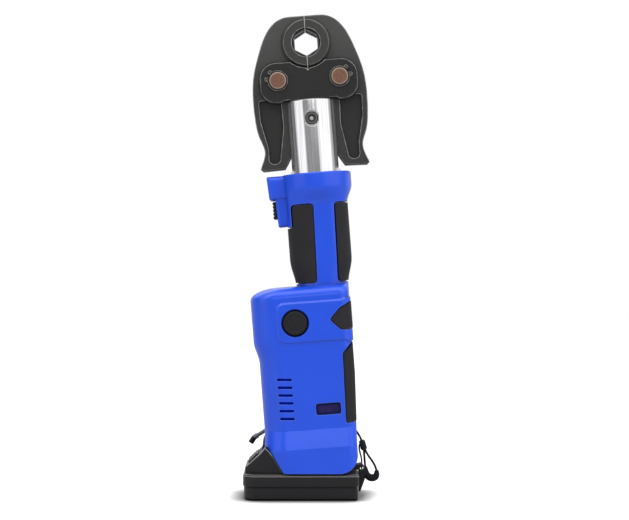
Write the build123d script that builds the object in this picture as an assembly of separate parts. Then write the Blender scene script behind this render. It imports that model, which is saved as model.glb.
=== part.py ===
from build123d import *
import os
from math import cos, pi, radians, sin, sqrt, tan

os.makedirs("parts", exist_ok=True)

# Stance: the battery stands on Z = 0 with its base centred on the origin.
# The tool axis leans forward, towards -X, from the point where it meets that plane.
LEAN = 4.3
AXIS_FOOT_X = 36.0

# Lengths along the tool axis, stacked from the foot of the axis
BODY_TOP = 196.0
GRIP_LENGTH = 77.0
COLLAR_HEIGHT = 25.8
HEAD_REACH = 67.5
PIN_RISE = 19.3
PRESS_RISE = 33.4
JAW_CROWN = 25.2
TAIL_LENGTH = 81.8
RETAINER_DROP = 17.7
ROLLER_DROP = 17.6

# Press head
HEAD_RADIUS = 23.4
CYLINDER_RADIUS = 20.3
BORE_RADIUS = 17.3
STROKE = 34.0
JAW_OPENING = 12.0
ARM_THICKNESS = 18.0
PLATE_THICKNESS = 5.0
PLATE_LOBE = 16.5
PIN_SPREAD = 28.5
PIN_RADIUS = 7.8
CLIP_THICKNESS = 1.1
PRESS_RADIUS = 12.1
RING_RADIUS = 21.7
JAW_HALF = 52.6
ROLLER_RADIUS = 7.0
ROLLER_PIN_RADIUS = 3.0
RETAINER_RADIUS = 6.0
ROD_RADIUS = 9.0
PISTON_HEIGHT = 10.0
SPRING_WIRE = 2.0
SPRING_ROOM = 11.0
SPRING_SEAT_HEIGHT = 3.0
BUSHING_WALL = 3.1

# Case
WALL = 3.0
COLLAR_RADIUS = 32.3
COLLAR_RIM = 12.0
BODY_FRONT = 64.6
BODY_BACK = 21.7
BODY_HALF_DEPTH = 32.5
BULGE = 4.1
SHOULDER_HEIGHT = 10.0
SHOULDER_FRONT = 24.0
SHOULDER_SIDE = 11.0
SHOULDER_BACK = 2.0
FOOT_FLARE = 4.5
FLARE_FRONT = 1.4
GRIP_FRONT = 29.4
GRIP_BACK = 27.0
GRIP_HALF_DEPTH = 25.6
NECK_FRONT = 25.4
NECK_BACK = 22.4
NECK_BLEND = 24.0
HOOD_FRONT = 45.8
HOOD_HALF_WIDTH = 13.0
BLOCK_FRONT = 39.2
BLOCK_HALF_WIDTH = 11.5
BLOCK_HEIGHT = 25.0
PANEL_RISE = 1.2
PANEL_FRONT = -45.2
PANEL_DROP = 14.4
PANEL_HEIGHT = 36.0
PANEL_CORNER = 7.0
PANEL_SLOPE = 1.6
PAD_DEPTH = 1.6
PAD_PROUD = 0.3
BUTTON_RADIUS = 10.9
BUTTON_X = -29.0
BUTTON_DROP = 32.7
BUTTON_TRAVEL = 2.0
BUTTON_GAP = 1.0
BUTTON_BEVEL = 1.2
BUTTON_FLANGE = 1.8
TRIGGER_TRAVEL = 2.5
TRIGGER_PROUD = 2.8
TRIGGER_HEIGHT = 16.2
TRIGGER_HALF_WIDTH = 7.0
VENT_COUNT = 6
VENT_PITCH = 7.1
SCREW_RADIUS = 1.5

# Drive
GEAR_X = -20.0
MOTOR_RADIUS = 19.0
MOTOR_LENGTH = 52.0
GEARBOX_RADIUS = 25.0
GEARBOX_HEIGHT = 39.8
PUMP_HEIGHT = 40.8
PUMP_HALF_DEPTH = 22.0
GEAR_MODULE = 1.0
SUN_TEETH = 12
PLANET_TEETH = 15
PLANET_COUNT = 3
GEAR_WIDTH = 9.0
ECCENTRICITY = 2.0
ECCENTRIC_RADIUS = 12.0
PLUNGER_RADIUS = 4.0

# Battery
CELL_RADIUS = 9.15
CELL_LENGTH = 65.0
CELL_COUNT = 5
CELL_GAP = 0.7
BATTERY_WALL = 2.2
BATTERY_ROOM = 4.2
BATTERY_SEAM = 13.0
TRAY_STEP = 0.9
SEAM_HEIGHT = 1.2
SEAM_DEPTH = 0.6
BATTERY_BEVEL = 1.6
FOOT_GAP = 0.7
RAIL_HALF_NECK = 20.5
RAIL_HALF_FLANGE = 24.5

# Hanging strap and side hook
CORD_RADIUS = 1.05
HOOK_RADIUS = 1.9

# Clearances
RUNNING = 0.05
SLIDING = 0.3
PAD_GAP = 1.3
SEAT = 0.1

# The battery is as large as its cells ask
CELL_PITCH = 2 * CELL_RADIUS + CELL_GAP
BATTERY_LENGTH = CELL_COUNT * CELL_PITCH + 2 * (BATTERY_WALL + TRAY_STEP) + BATTERY_ROOM
BATTERY_WIDTH = CELL_LENGTH + 10.0
BATTERY_TOP = 2 * (BATTERY_WALL + CELL_RADIUS) + SEAT + 1.0
FOOT_Z = BATTERY_TOP + FOOT_GAP

# Heights worked out from the stack
GRIP_TOP = BODY_TOP + GRIP_LENGTH
COLLAR_TOP = GRIP_TOP + COLLAR_HEIGHT
HEAD_TOP = COLLAR_TOP + HEAD_REACH
PIN_W = HEAD_TOP + PIN_RISE
PRESS_W = PIN_W + PRESS_RISE
TAIL_W = PIN_W - TAIL_LENGTH
RETAINER_W = HEAD_TOP - RETAINER_DROP
ROLLER_W = RETAINER_W - ROLLER_DROP
SEAT_W = COLLAR_TOP - 14.2
LEDGE_W = SEAT_W - 3.6
PUMP_TOP = BODY_TOP - WALL - SEAT
PUMP_BOTTOM = PUMP_TOP - PUMP_HEIGHT
GEARBOX_BOTTOM = PUMP_BOTTOM - GEARBOX_HEIGHT
MOTOR_BOTTOM = GEARBOX_BOTTOM - MOTOR_LENGTH
YOKE_BOTTOM = ROLLER_W - 18.0
SPRING_SEAT_W = YOKE_BOTTOM - STROKE - 1.0
PISTON_TOP = SPRING_SEAT_W - SPRING_SEAT_HEIGHT - SPRING_ROOM
PISTON_BOTTOM = PISTON_TOP - PISTON_HEIGHT
CYLINDER_FLOOR = PISTON_BOTTOM - STROKE - 2.0
CYLINDER_LOW = CYLINDER_FLOOR - 8.5
ROLLER_SPREAD = ROLLER_RADIUS + 0.1
ARM_HALF = ARM_THICKNESS / 2
PLATE_INNER = ARM_HALF + 0.2
PLATE_OUTER = PLATE_INNER + PLATE_THICKNESS
SPLIT_GAP = 0.15
SPRING_POST_W = PIN_W - 6.6
HOOD_LOW = COLLAR_TOP - 22.6
BLOCK_LOW = HOOD_LOW - BLOCK_HEIGHT
TRIGGER_TOP = HOOD_LOW - 1.0
TRIGGER_LOW = TRIGGER_TOP - TRIGGER_HEIGHT
BUTTON_W = BODY_TOP - BUTTON_DROP
RIM_LOW = COLLAR_TOP - COLLAR_RIM
PANEL_TOP = BODY_TOP - PANEL_DROP
PANEL_LOW = PANEL_TOP - PANEL_HEIGHT
BATTERY_FRONT = -BATTERY_LENGTH / 2
BATTERY_BACK = BATTERY_LENGTH / 2
BATTERY_HALF = BATTERY_WIDTH / 2

# Outer edge of a jaw from its crown to the tip of its tail: a share of JAW_HALF, and a share of the
# height above the pins or, below them, of the tail
JAW_EDGE = [(0.27, 1.0), (0.568, 0.894), (0.734, 0.689), (0.857, 0.416), (0.951, 0.143), (1.0, -0.159),
            (0.99, -0.416), (0.937, -0.619), (0.861, -0.789), (0.913, -0.908), (0.956, -0.976)]

# Blends of the case, as heights along the tool axis
FOOT_LOW = -12.0
FLARE_LOW = 49.0
FLARE_HIGH = 66.0
BULGE_LOW = 128.0
BULGE_HIGH = 148.0
BLEND_STEPS = 6
BACK_TAPER = 2.7
TAPER_LOW = 40.0
TAPER_HIGH = 115.0
BODY_CORNER = 22.0
BACK_CORNER = 9.0
GRIP_CORNER = 19.0

# Case screws (side positions), board, window and vents
CASE_SCREWS = [(-57.0, 144.0), (-55.0, 80.0), (13.0, 122.0), (-50.0, 58.0), (9.5, 46.0)]
HOOD_SCREW = (-40.0, COLLAR_TOP - 9.0)
BOARD_X = 11.8
BOARD_THICKNESS = 1.6
WINDOW_CENTRE = (-4.6, 83.8)
WINDOW_SIZE = (21.0, 8.8)
WINDOW_SUNK = 1.3
WINDOW_RIM = 0.9
VENT_LENGTH = 13.4
VENT_HEIGHT = 2.5
VENT_X = -42.5
VENT_TOP = BODY_TOP - 83.2
WEB_HALF = 1.2

# Battery dock and the rail that slides in it
DOCK_FRONT = -9.0
DOCK_BACK = 41.0
DOCK_HALF = 27.0
RAIL_LOW = BATTERY_TOP + 5.6
RAIL_TOP = RAIL_LOW + 3.6
RAIL_FRONT = -13.0
RAIL_BACK = 38.0
RAIL_PLAY = 0.4
TONGUE_HALF = 7.0
TONGUE_TOP = FOOT_Z + 5.0
LUG_X = BATTERY_BACK + 3.4
LUG_Z = 25.4
LUG_HOLE_RADIUS = 1.9
BLADE_PLACES = (-12.0, -4.0, 4.0, 12.0)
BLADE_THICKNESS = 0.8

# Where the foot of the case slants up over the battery's front block
FOOT_BACK = AXIS_FOOT_X + 16.0
FOOT_CORNER = 17.0
FOOT_SLANT = [(BATTERY_FRONT + 37.4, FOOT_Z), (BATTERY_FRONT + 27.5, FOOT_Z + 16.1),
              (BATTERY_FRONT + 20.1, FOOT_Z + 23.1)]
SLANT_GAP = 0.6

# Battery shell and its release key
BLOCK_SLOPE_LOW = (BATTERY_FRONT + 1.8, BATTERY_TOP + 5.4)
BLOCK_SLOPE_TOP = (BATTERY_FRONT + 16.6, BATTERY_TOP + 19.2)
BLOCK_HALF = 31.0
BLOCK_CORNER = 7.0
LIP_RISE = 6.9
LIP_HALF = 12.0
LATCH_LENGTH = 12.0
LATCH_HALF = 15.0
LATCH_DEPTH = 7.5
CELL_Z = BATTERY_WALL + CELL_RADIUS + SEAT

# The gear train
RING_TEETH = SUN_TEETH + 2 * PLANET_TEETH
CARRIER_RADIUS = GEAR_MODULE * (SUN_TEETH + PLANET_TEETH) / 2
GEAR_LOW = GEARBOX_BOTTOM + 6.0
GEAR_HIGH = GEAR_LOW + GEAR_WIDTH

# The strap comes out of a hole in the back of the right half
STRAP_Y = 20.0
STRAP_ROUTE = [(46.4, STRAP_Y, 63.2), (54.4, STRAP_Y, 55.8), (59.6, STRAP_Y, 38.8), (70.4, STRAP_Y, 24.4),
               (71.0, STRAP_Y, 13.6), (61.4, STRAP_Y + 2.0, 13.6), (59.6, STRAP_Y + 3.8, 27.0),
               (58.6, STRAP_Y + 3.8, 44.0)]
SLIDER_CENTRE = (57.9, STRAP_Y + 1.9, 44.3)
SLIDER_TILT = 16.8
SLIDER_SIZE = (6.0, 9.8, 9.6)
SLIDER_ROUND = 2.2
SLEEVE_RADIUS = 3.6
SLEEVE_REACH = 5.2

# The side hook, a bent wire on the right side
HOOK_X = 12.0
HOOK_Z = 84.0
HOOK_STAND = 12.0
HOOK_PLATE_RADIUS = 6.0
HOOK_BEND = 6.0
HOOK_TIP_RADIUS = 2.6
HOOK_TIP_REACH = 4.0
HOOK_TIP_END = 0.8

# Far enough to pass through the whole tool, and past its back or front
REACH = 500.0
BEHIND = 60.0
LEANED = Pos(AXIS_FOOT_X, 0, 0) * Rot(0, -LEAN, 0)


def lean(shape):
    """Moves a piece from the upright tool frame to where the tool leans."""
    return LEANED * shape


def unlean(shape):
    """Moves a cutter from the battery's level frame to the upright tool frame."""
    return LEANED.inverse() * shape


def outline(points, radii):
    """A closed face with its corners rounded by the listed radii."""
    return make_face(FilletPolyline(*points, radius=radii, close=True))


def slab(profile, half):
    """A side profile (x, height) made solid to half a thickness each way in Y."""
    return extrude(Plane.XZ * profile, amount=half, both=True)


def post(radius, low, high, x=0.0, y=0.0):
    """A round post along the tool axis between two heights."""
    return Pos(x, y, (low + high) / 2) * Cylinder(radius, high - low)


def bar(radius, y_low, y_high, x, w):
    """A round bar along Y."""
    return Pos(x, (y_low + y_high) / 2, w) * Rot(90, 0, 0) * Cylinder(radius, y_high - y_low)


def rail(radius, x_low, x_high, y, w):
    """A round bar along X."""
    return Pos((x_low + x_high) / 2, y, w) * Rot(0, 90, 0) * Cylinder(radius, x_high - x_low)


def block(x_low, x_high, y_low, y_high, w_low, w_high):
    """A plain box between two corners."""
    middle = ((x_low + x_high) / 2, (y_low + y_high) / 2, (w_low + w_high) / 2)
    return Pos(*middle) * Box(x_high - x_low, y_high - y_low, w_high - w_low)


def level_edges(shape, height):
    """The edges that lie at one height."""
    return [edge for edge in shape.edges()
            if abs((edge @ 0).Z - height) < 0.01 and abs((edge @ 0.5).Z - height) < 0.01]


def ease(value, low, high):
    """Goes smoothly from 0 at low to 1 at high."""
    share = min(max((value - low) / (high - low), 0.0), 1.0)
    return share * share * (3 - 2 * share)


def group(pieces):
    """Several solids that belong to one piece."""
    return Compound([solid for piece in pieces for solid in piece.solids()])


# Press jaws, link plates and pins

def cam_point(travel):
    """The point of the right tail that a roller touches when it has dropped by travel."""
    def roller_in_jaw(drop):
        turn = radians(JAW_OPENING) * drop / STROKE
        across = ROLLER_SPREAD - PIN_SPREAD
        up = ROLLER_W - drop - PIN_W
        return (PIN_SPREAD + across * cos(turn) - up * sin(turn),
                PIN_W + across * sin(turn) + up * cos(turn))
    here = roller_in_jaw(travel)
    ahead = roller_in_jaw(travel + 0.1)
    run = (ahead[0] - here[0], ahead[1] - here[1])
    length = sqrt(run[0] ** 2 + run[1] ** 2)
    reach = ROLLER_RADIUS + SLIDING
    return here[0] - run[1] / length * reach, here[1] + run[0] / length * reach


def jaw_edge():
    """The smooth outer edge of the right jaw."""
    rise = PRESS_RISE + JAW_CROWN
    points = [(JAW_HALF * across, PIN_W + up * (rise if up > 0 else TAIL_LENGTH)) for across, up in JAW_EDGE]
    return Spline(*points)


def jaw_profile():
    """The right jaw seen from the front: crown, outer edge, tail and roller cam."""
    cam = [cam_point(STROKE * share) for share in (0.83, 0.6, 0.4, 0.2, 0.0)]
    throat = (SPLIT_GAP, PRESS_W - RING_RADIUS - 0.9)
    edge = jaw_edge()
    crown = Polyline(throat, (SPLIT_GAP, PRESS_W + JAW_CROWN), edge @ 0)
    heel = Polyline(edge @ 1, (PIN_SPREAD + 19.6, TAIL_W), cam[0])
    inner = Polyline(cam[-1], (16.0, RETAINER_W - 8), (16.0, RETAINER_W + 6), (12.5, PIN_W - 10.6),
                     (6.0, PIN_W + 4.4), throat)
    return make_face(crown.edges() + edge.edges() + heel.edges() + Spline(*cam).edges() + inner.edges())


def tail_pocket(side):
    """The sunk web in one face of the right tail."""
    web = outline([(PIN_SPREAD - 1.4, PIN_W - 17), (PIN_SPREAD + 19, PIN_W - 17),
                   (PIN_SPREAD + 18.6, PIN_W - 36), (PIN_SPREAD + 13.0, TAIL_W + 20),
                   (PIN_SPREAD + 13.4, TAIL_W + 6), (PIN_SPREAD + 3.6, TAIL_W + 6),
                   (PIN_SPREAD - 2.1, PIN_W - 43)], [2.4, 2.4, 20, 14, 4.4, 4.4, 20])
    return Pos(0, side * ARM_HALF, 0) * slab(web, 2.6)


def right_jaw():
    """One forged jaw: arm, half of the press ring with its six-sided bore, pin hole and cam tail."""
    arm = slab(jaw_profile(), ARM_HALF)
    rims = [e for e in arm.edges() if abs(abs((e @ 0.5).Y) - ARM_HALF) < 0.01]
    arm = chamfer([e for e in rims if (e @ 0.5).X > SPLIT_GAP + 0.01], 0.7)
    ring = bar(RING_RADIUS, -PLATE_OUTER, PLATE_OUTER, 0, PRESS_W)
    ring = chamfer(ring.edges().filter_by(GeomType.CIRCLE), 1.0)
    ring &= block(SPLIT_GAP, REACH, -REACH, REACH, 0, REACH)
    hexagon = Plane.XZ * (Pos(0, PRESS_W) * RegularPolygon(PRESS_RADIUS, 6, rotation=30))
    jaw = arm + ring - extrude(hexagon, amount=REACH, both=True)
    mouth = PRESS_RADIUS + 1.2
    for side in (-1, 1):
        jaw -= Pos(0, side * PLATE_OUTER, PRESS_W) * Rot(90, 0, 0) * Cylinder(mouth, 6.0)
        jaw -= tail_pocket(side)
    jaw -= bar(PRESS_RADIUS + 0.6, -3.5, 3.5, 0, PRESS_W)
    return jaw - bar(PIN_RADIUS + RUNNING, -REACH, REACH, PIN_SPREAD, PIN_W)


def left_jaw():
    return mirror(right_jaw(), about=Plane.YZ)


def link_plate(side):
    """A dumbbell plate that carries both jaw pins, with a stem down into the head."""
    half = PIN_SPREAD + PLATE_LOBE
    low = HEAD_TOP - 1.1
    middle = HEAD_TOP + 0.5
    rim = HEAD_RADIUS + 1.2
    face = outline([(-half, PIN_W + PLATE_LOBE), (half, PIN_W + PLATE_LOBE), (half, low), (rim + 2, low),
                    (rim, middle), (-rim, middle), (-rim - 2, low), (-half, low)],
                   [15, 15, 14, 0, 0, 0, 0, 14])
    middle_y = side * (PLATE_INNER + PLATE_THICKNESS / 2)
    plate = Pos(0, middle_y, 0) * slab(face, PLATE_THICKNESS / 2)
    outside = side * PLATE_OUTER
    plate = chamfer([e for e in plate.edges() if abs((e @ 0.5).Y - outside) < 0.01], 0.6)
    plate -= bar(RING_RADIUS + 1.8, -REACH, REACH, 0, PRESS_W)
    notch = Pos(0, PRESS_W - RING_RADIUS - 1.8) * Rectangle(3.0, 3.0, rotation=45)
    plate -= slab(notch, REACH)
    stem_low = RETAINER_W - 10
    plate += Pos(0, middle_y, (middle + 6 + stem_low) / 2) * Box(19.2, PLATE_THICKNESS, middle + 6 - stem_low)
    plate -= bar(RETAINER_RADIUS + RUNNING, -REACH, REACH, 0, RETAINER_W)
    for x in (-PIN_SPREAD, PIN_SPREAD):
        plate -= bar(PIN_RADIUS + RUNNING, -REACH, REACH, x, PIN_W)
    return plate


def jaw_pin(x):
    """A turned jaw pin, grooved at both ends for its clips."""
    end = PLATE_OUTER + 3.2
    pin = bar(PIN_RADIUS, -end, end, x, PIN_W)
    pin = chamfer(pin.edges().filter_by(GeomType.CIRCLE), 0.7)
    for side in (-1, 1):
        middle = side * (PLATE_OUTER + SEAT + CLIP_THICKNESS / 2)
        half = CLIP_THICKNESS / 2 + RUNNING
        groove = bar(PIN_RADIUS + 1, middle - half, middle + half, x, PIN_W)
        pin -= groove - bar(PIN_RADIUS - 0.7, middle - half, middle + half, x, PIN_W)
    return pin


def pin_clip(x, side):
    """A spring clip in a pin's groove, open towards the outside with two holed lugs."""
    angle = 30 if x > 0 else 150
    face = Circle(PIN_RADIUS + 1.5) - Circle(PIN_RADIUS - 0.65)
    face -= Rot(0, 0, angle) * (Pos(PIN_RADIUS, 0) * Rectangle(6, 4.4))
    for turn in (-21, 21):
        lug = Pos(PIN_RADIUS + 2.4, 0) * (Circle(1.9) - Circle(0.8))
        face += Rot(0, 0, angle + turn) * lug
    middle = side * (PLATE_OUTER + SEAT + CLIP_THICKNESS / 2)
    return Pos(x, middle, PIN_W) * slab(face, CLIP_THICKNESS / 2)


def pin_clips():
    return group([pin_clip(x, side) for x in (-PIN_SPREAD, PIN_SPREAD) for side in (-1, 1)])


def rear_link_plate():
    """The rear plate carries the jaw spring's post, which reaches to the front plate."""
    return link_plate(1) + bar(3.0, -PLATE_INNER + SEAT, PLATE_INNER + 1, 0, SPRING_POST_W)


def jaw_spring():
    """A coiled hairpin round its post, one leg behind each jaw arm."""
    centre = SPRING_POST_W
    coil = bar(5.4, -5.0, 5.0, 0, centre) - bar(3.4, -6, 6, 0, centre)
    legs = []
    for sign in (-1, 1):
        leg = Line((0, sign * 3.4, centre - 4.2), (sign * 11.4, sign * 3.4, centre - 6.0))
        legs.append(sweep(Plane(leg @ 0, z_dir=leg % 0) * Circle(1.0), path=leg))
    return coil + legs


# Head tube with its ram

def head_tube():
    """The bored head: two slots for the tails, the retaining pin's hole and the cylinder below."""
    low = CYLINDER_LOW
    tube = post(HEAD_RADIUS, SEAT_W, HEAD_TOP) + post(CYLINDER_RADIUS, low, SEAT_W)
    tube = chamfer(level_edges(tube, HEAD_TOP), 0.8)
    tube -= post(BORE_RADIUS, low - 1, HEAD_TOP + 1)
    slot_low = COLLAR_TOP + 2.7
    half = ARM_HALF + SLIDING
    tube -= block(-REACH, REACH, -half, half, slot_low, HEAD_TOP + 1)
    tube -= bar(RETAINER_RADIUS + RUNNING, -REACH, REACH, 0, RETAINER_W)
    for side in (-1, 1):
        sink = bar(RETAINER_RADIUS + 1.6, HEAD_RADIUS - 1.0, HEAD_RADIUS + 2, 0, RETAINER_W)
        tube -= sink if side > 0 else mirror(sink, about=Plane.XZ)
    groove = post(CYLINDER_RADIUS + 1, LEDGE_W - 2.8, LEDGE_W - 0.3)
    return tube - (groove - post(CYLINDER_RADIUS - 1.1, LEDGE_W - 3, LEDGE_W))


def head_ring():
    """The split ring that keeps the swivelling head in the case."""
    ring = post(CYLINDER_RADIUS + 1.8, LEDGE_W - 2.7, LEDGE_W - 0.4)
    ring -= post(CYLINDER_RADIUS - 1.1 + RUNNING, LEDGE_W - 3, LEDGE_W)
    return ring - block(-3, 3, -REACH, 0, LEDGE_W - 4, LEDGE_W)


def head_bushing():
    """The bearing sleeve in the collar that the head turns in."""
    sleeve = post(HEAD_RADIUS + BUSHING_WALL, SEAT_W + SEAT, COLLAR_TOP - 0.6)
    return sleeve - post(HEAD_RADIUS + RUNNING, SEAT_W - 1, COLLAR_TOP)


def retaining_pin():
    """The pull pin that locks the jaw set in the head, knobbed at the far side."""
    knob_low = HEAD_RADIUS + 0.6
    pin = bar(RETAINER_RADIUS, -HEAD_RADIUS + 0.4, knob_low, 0, RETAINER_W)
    pin = chamfer(pin.edges().filter_by(GeomType.CIRCLE).sort_by(Axis.Y)[:1], 0.9)
    knob = bar(RETAINER_RADIUS + 2.6, knob_low, knob_low + 5.6, 0, RETAINER_W)
    knob = chamfer(knob.edges().filter_by(GeomType.CIRCLE), 0.8)
    socket = Plane.XZ * (Pos(0, RETAINER_W) * RegularPolygon(2.6, 6))
    drive = Pos(0, -HEAD_RADIUS + 0.4, 0) * extrude(socket, amount=-3)
    return pin + knob - drive


def roller_yoke():
    """The slotted ram head that holds the two rollers."""
    radius = BORE_RADIUS - 0.15
    floor = ROLLER_W - ROLLER_RADIUS - 5
    yoke = post(radius, YOKE_BOTTOM, ROLLER_W + 4.5)
    yoke -= block(-REACH, REACH, -ARM_HALF - 0.4, ARM_HALF + 0.4, floor, ROLLER_W + 5)
    for x in (-ROLLER_SPREAD, ROLLER_SPREAD):
        yoke -= bar(ROLLER_PIN_RADIUS, -REACH, REACH, x, ROLLER_W)
    return yoke


def roller_pins():
    end = sqrt((BORE_RADIUS - 0.15) ** 2 - (ROLLER_SPREAD + ROLLER_PIN_RADIUS) ** 2) - 0.3
    return group([bar(ROLLER_PIN_RADIUS - 0.02, -end, end, x, ROLLER_W)
                  for x in (-ROLLER_SPREAD, ROLLER_SPREAD)])


def roller(x):
    wheel = bar(ROLLER_RADIUS, -ARM_HALF, ARM_HALF, x, ROLLER_W)
    wheel = chamfer(wheel.edges().filter_by(GeomType.CIRCLE), 0.5)
    return wheel - bar(ROLLER_PIN_RADIUS + RUNNING, -REACH, REACH, x, ROLLER_W)


def piston():
    """The ram piston and its rod."""
    body = post(BORE_RADIUS - RUNNING, PISTON_BOTTOM, PISTON_TOP)
    groove = post(BORE_RADIUS + 1, PISTON_BOTTOM + 3, PISTON_BOTTOM + 7.4)
    body -= groove - post(BORE_RADIUS - 3.2, PISTON_BOTTOM, PISTON_TOP)
    return body + post(ROD_RADIUS, PISTON_TOP, YOKE_BOTTOM)


def piston_seal():
    ring = post(BORE_RADIUS - 0.01, PISTON_BOTTOM + 3.1, PISTON_BOTTOM + 7.3)
    return ring - post(BORE_RADIUS - 3.2 + RUNNING, PISTON_BOTTOM, PISTON_TOP)


def spring_seat():
    """The ring in the bore that the return spring pushes against."""
    ring = post(BORE_RADIUS - 0.01, SPRING_SEAT_W - SPRING_SEAT_HEIGHT, SPRING_SEAT_W)
    return ring - post(ROD_RADIUS + SLIDING, SPRING_SEAT_W - 5, SPRING_SEAT_W + 1)


def return_spring():
    """The coil spring round the rod that pushes the ram back."""
    mean = (BORE_RADIUS + ROD_RADIUS) / 2
    margin = SPRING_WIRE / 2 + 0.15
    turns = 3.2
    height = SPRING_ROOM - 2 * margin
    line = Helix(pitch=height / turns, height=height, radius=mean)
    wire = sweep(Plane(line @ 0, z_dir=line % 0) * Circle(SPRING_WIRE / 2), path=line, is_frenet=True)
    return Pos(0, 0, PISTON_TOP + margin) * wire


# Case forms: sections across the tool axis, each a rectangle with rounded corners

FORMS = {}

def section(w, front, back, half, front_radius, back_radius):
    corners = [(-front, -half), (back, -half), (back, half), (-front, half)]
    radii = [front_radius, back_radius, back_radius, front_radius]
    return Pos(0, 0, w) * outline(corners, radii)


def steps(low, high):
    return [low + (high - low) * step / BLEND_STEPS for step in range(BLEND_STEPS + 1)]


def flare(w):
    """Goes from 1 at the foot to 0 at the top of its flare, in an even slope."""
    share = min(max((w - FLARE_LOW) / (FLARE_HIGH - FLARE_LOW), 0.0), 1.0)
    return 1 - share


def body_section(w, inset):
    front = BODY_FRONT + FLARE_FRONT * flare(w) + BULGE * ease(w, BULGE_LOW, BULGE_HIGH)
    back = BODY_BACK - BACK_TAPER * (1 - ease(w, TAPER_LOW, TAPER_HIGH))
    half = BODY_HALF_DEPTH + FOOT_FLARE * flare(w)
    return section(w, front - inset, back - inset, half - inset, BODY_CORNER - inset, BACK_CORNER - inset)


def shoulder_section(turn, inset):
    """A section of the domed shoulder, whose curve is a quarter of an ellipse on each side."""
    shrink = 1 - cos(turn)
    front = BODY_FRONT + BULGE - inset - (SHOULDER_FRONT - inset) * shrink
    back = BODY_BACK - inset - (SHOULDER_BACK - inset) * shrink
    half = BODY_HALF_DEPTH - inset - (SHOULDER_SIDE - inset) * shrink
    w = BODY_TOP - SHOULDER_HEIGHT + (SHOULDER_HEIGHT - inset) * sin(turn)
    return section(w, front, back, half, BODY_CORNER - inset - 8 * shrink, BACK_CORNER - inset - 2 * shrink)


def body_form(inset=0.0):
    """The lower body, from below the foot to the domed shoulder."""
    if ("body", inset) not in FORMS:
        heights = [FOOT_LOW, FLARE_LOW, FLARE_HIGH, TAPER_HIGH, *steps(BULGE_LOW, BULGE_HIGH)]
        faces = [body_section(w, inset) for w in heights]
        faces += [shoulder_section(radians(turn), inset) for turn in steps(0, 90)]
        FORMS["body", inset] = loft(faces, ruled=True)
    return FORMS["body", inset]


def grip_form(inset=0.0):
    """The grip, swelling upwards from the neck to the collar."""
    if ("grip", inset) not in FORMS:
        faces = []
        low = BODY_TOP - 12
        for w in [low, *steps(BODY_TOP, BODY_TOP + NECK_BLEND), GRIP_TOP + 3]:
            swell = ease(w, BODY_TOP, BODY_TOP + NECK_BLEND)
            front = NECK_FRONT + (GRIP_FRONT - NECK_FRONT) * swell
            back = NECK_BACK + (GRIP_BACK - NECK_BACK) * swell
            half = GRIP_HALF_DEPTH - 1.2 * (1 - (w - low) / (GRIP_TOP + 3 - low))
            corner = GRIP_CORNER - inset
            faces.append(section(w, front - inset, back - inset, half - inset, corner, corner))
        FORMS["grip", inset] = loft(faces, ruled=True)
    return FORMS["grip", inset]


def collar_form():
    """The collar: a round rim that blends down into the grip."""
    low = GRIP_TOP - 3
    round_corner = COLLAR_RADIUS - 0.1
    faces = []
    for w in [*steps(low, RIM_LOW), COLLAR_TOP]:
        share = ease(w, low, RIM_LOW)
        front = GRIP_FRONT + (COLLAR_RADIUS - GRIP_FRONT) * share
        back = GRIP_BACK + (COLLAR_RADIUS - GRIP_BACK) * share
        half = GRIP_HALF_DEPTH + (COLLAR_RADIUS - GRIP_HALF_DEPTH) * share
        corner = GRIP_CORNER + (round_corner - GRIP_CORNER) * share
        faces.append(section(w, front, back, half, corner, corner))
    form = loft(faces, ruled=True)
    return chamfer(level_edges(form, COLLAR_TOP), 1.0)


def hood_form():
    """The hood over the trigger, level with the collar's rim."""
    top = COLLAR_TOP - 0.4
    face = outline([(-HOOD_FRONT, top), (-15, top), (-15, HOOD_LOW), (-HOOD_FRONT + 1.4, HOOD_LOW)],
                   [1.2, 0, 0, 2.5])
    form = slab(face, HOOD_HALF_WIDTH)
    upright = [e for e in form.edges() if abs((e @ 1 - e @ 0).Z) > 5 and (e @ 0.5).X < -30]
    return fillet(upright, 4.5)


def block_form():
    """The trigger block under the hood."""
    face = outline([(-BLOCK_FRONT, HOOD_LOW + 2), (-15, HOOD_LOW + 2), (-15, BLOCK_LOW + 0.8),
                    (-BLOCK_FRONT + 1.4, BLOCK_LOW)], [0, 0, 0, 1.5])
    form = slab(face, BLOCK_HALF_WIDTH)
    upright = [e for e in form.edges() if abs((e @ 1 - e @ 0).Z) > 5 and (e @ 0.5).X < -30]
    return fillet(upright, 3.0)


def foot_region(inset):
    """The space above the level foot line, with its slanted front and rounded back corner."""
    floor = FOOT_Z + inset
    toe, knee, brow = FOOT_SLANT
    face = outline([(toe[0] + 1.6 * inset, floor), (FOOT_BACK - inset, floor), (FOOT_BACK - inset, REACH),
                    (-REACH, REACH), (-REACH, brow[1] + inset), (brow[0] + 0.5 * inset, brow[1] + inset),
                    (knee[0] + 1.3 * inset, knee[1])], [1.5, FOOT_CORNER - inset, 0, 0, 0, 3, 8])
    return unlean(slab(face, REACH))


def panel_face(grow):
    """The side panel's outline from behind the front bulge to past the back, larger by grow."""
    front, top, low = PANEL_FRONT - grow, PANEL_TOP + grow, PANEL_LOW - grow
    radius = PANEL_CORNER + grow
    return outline([(front, top), (BEHIND, top), (BEHIND, low), (front, low)], [radius, 0, 0, radius])


def panel_region():
    """The space of the raised side panel, whose edge slopes down to the body's sides."""
    sink = 0.75
    grow = PANEL_SLOPE / 2 * (1 + 2 * sink / PANEL_RISE)
    near = BODY_HALF_DEPTH - sink
    far = BODY_HALF_DEPTH + PANEL_RISE + sink
    faces = [Plane.XZ.offset(near) * panel_face(grow), Plane.XZ.offset(far) * panel_face(-grow)]
    edge = loft(faces, ruled=True)
    return slab(panel_face(grow), near) + edge + mirror(edge, about=Plane.XZ)


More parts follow.
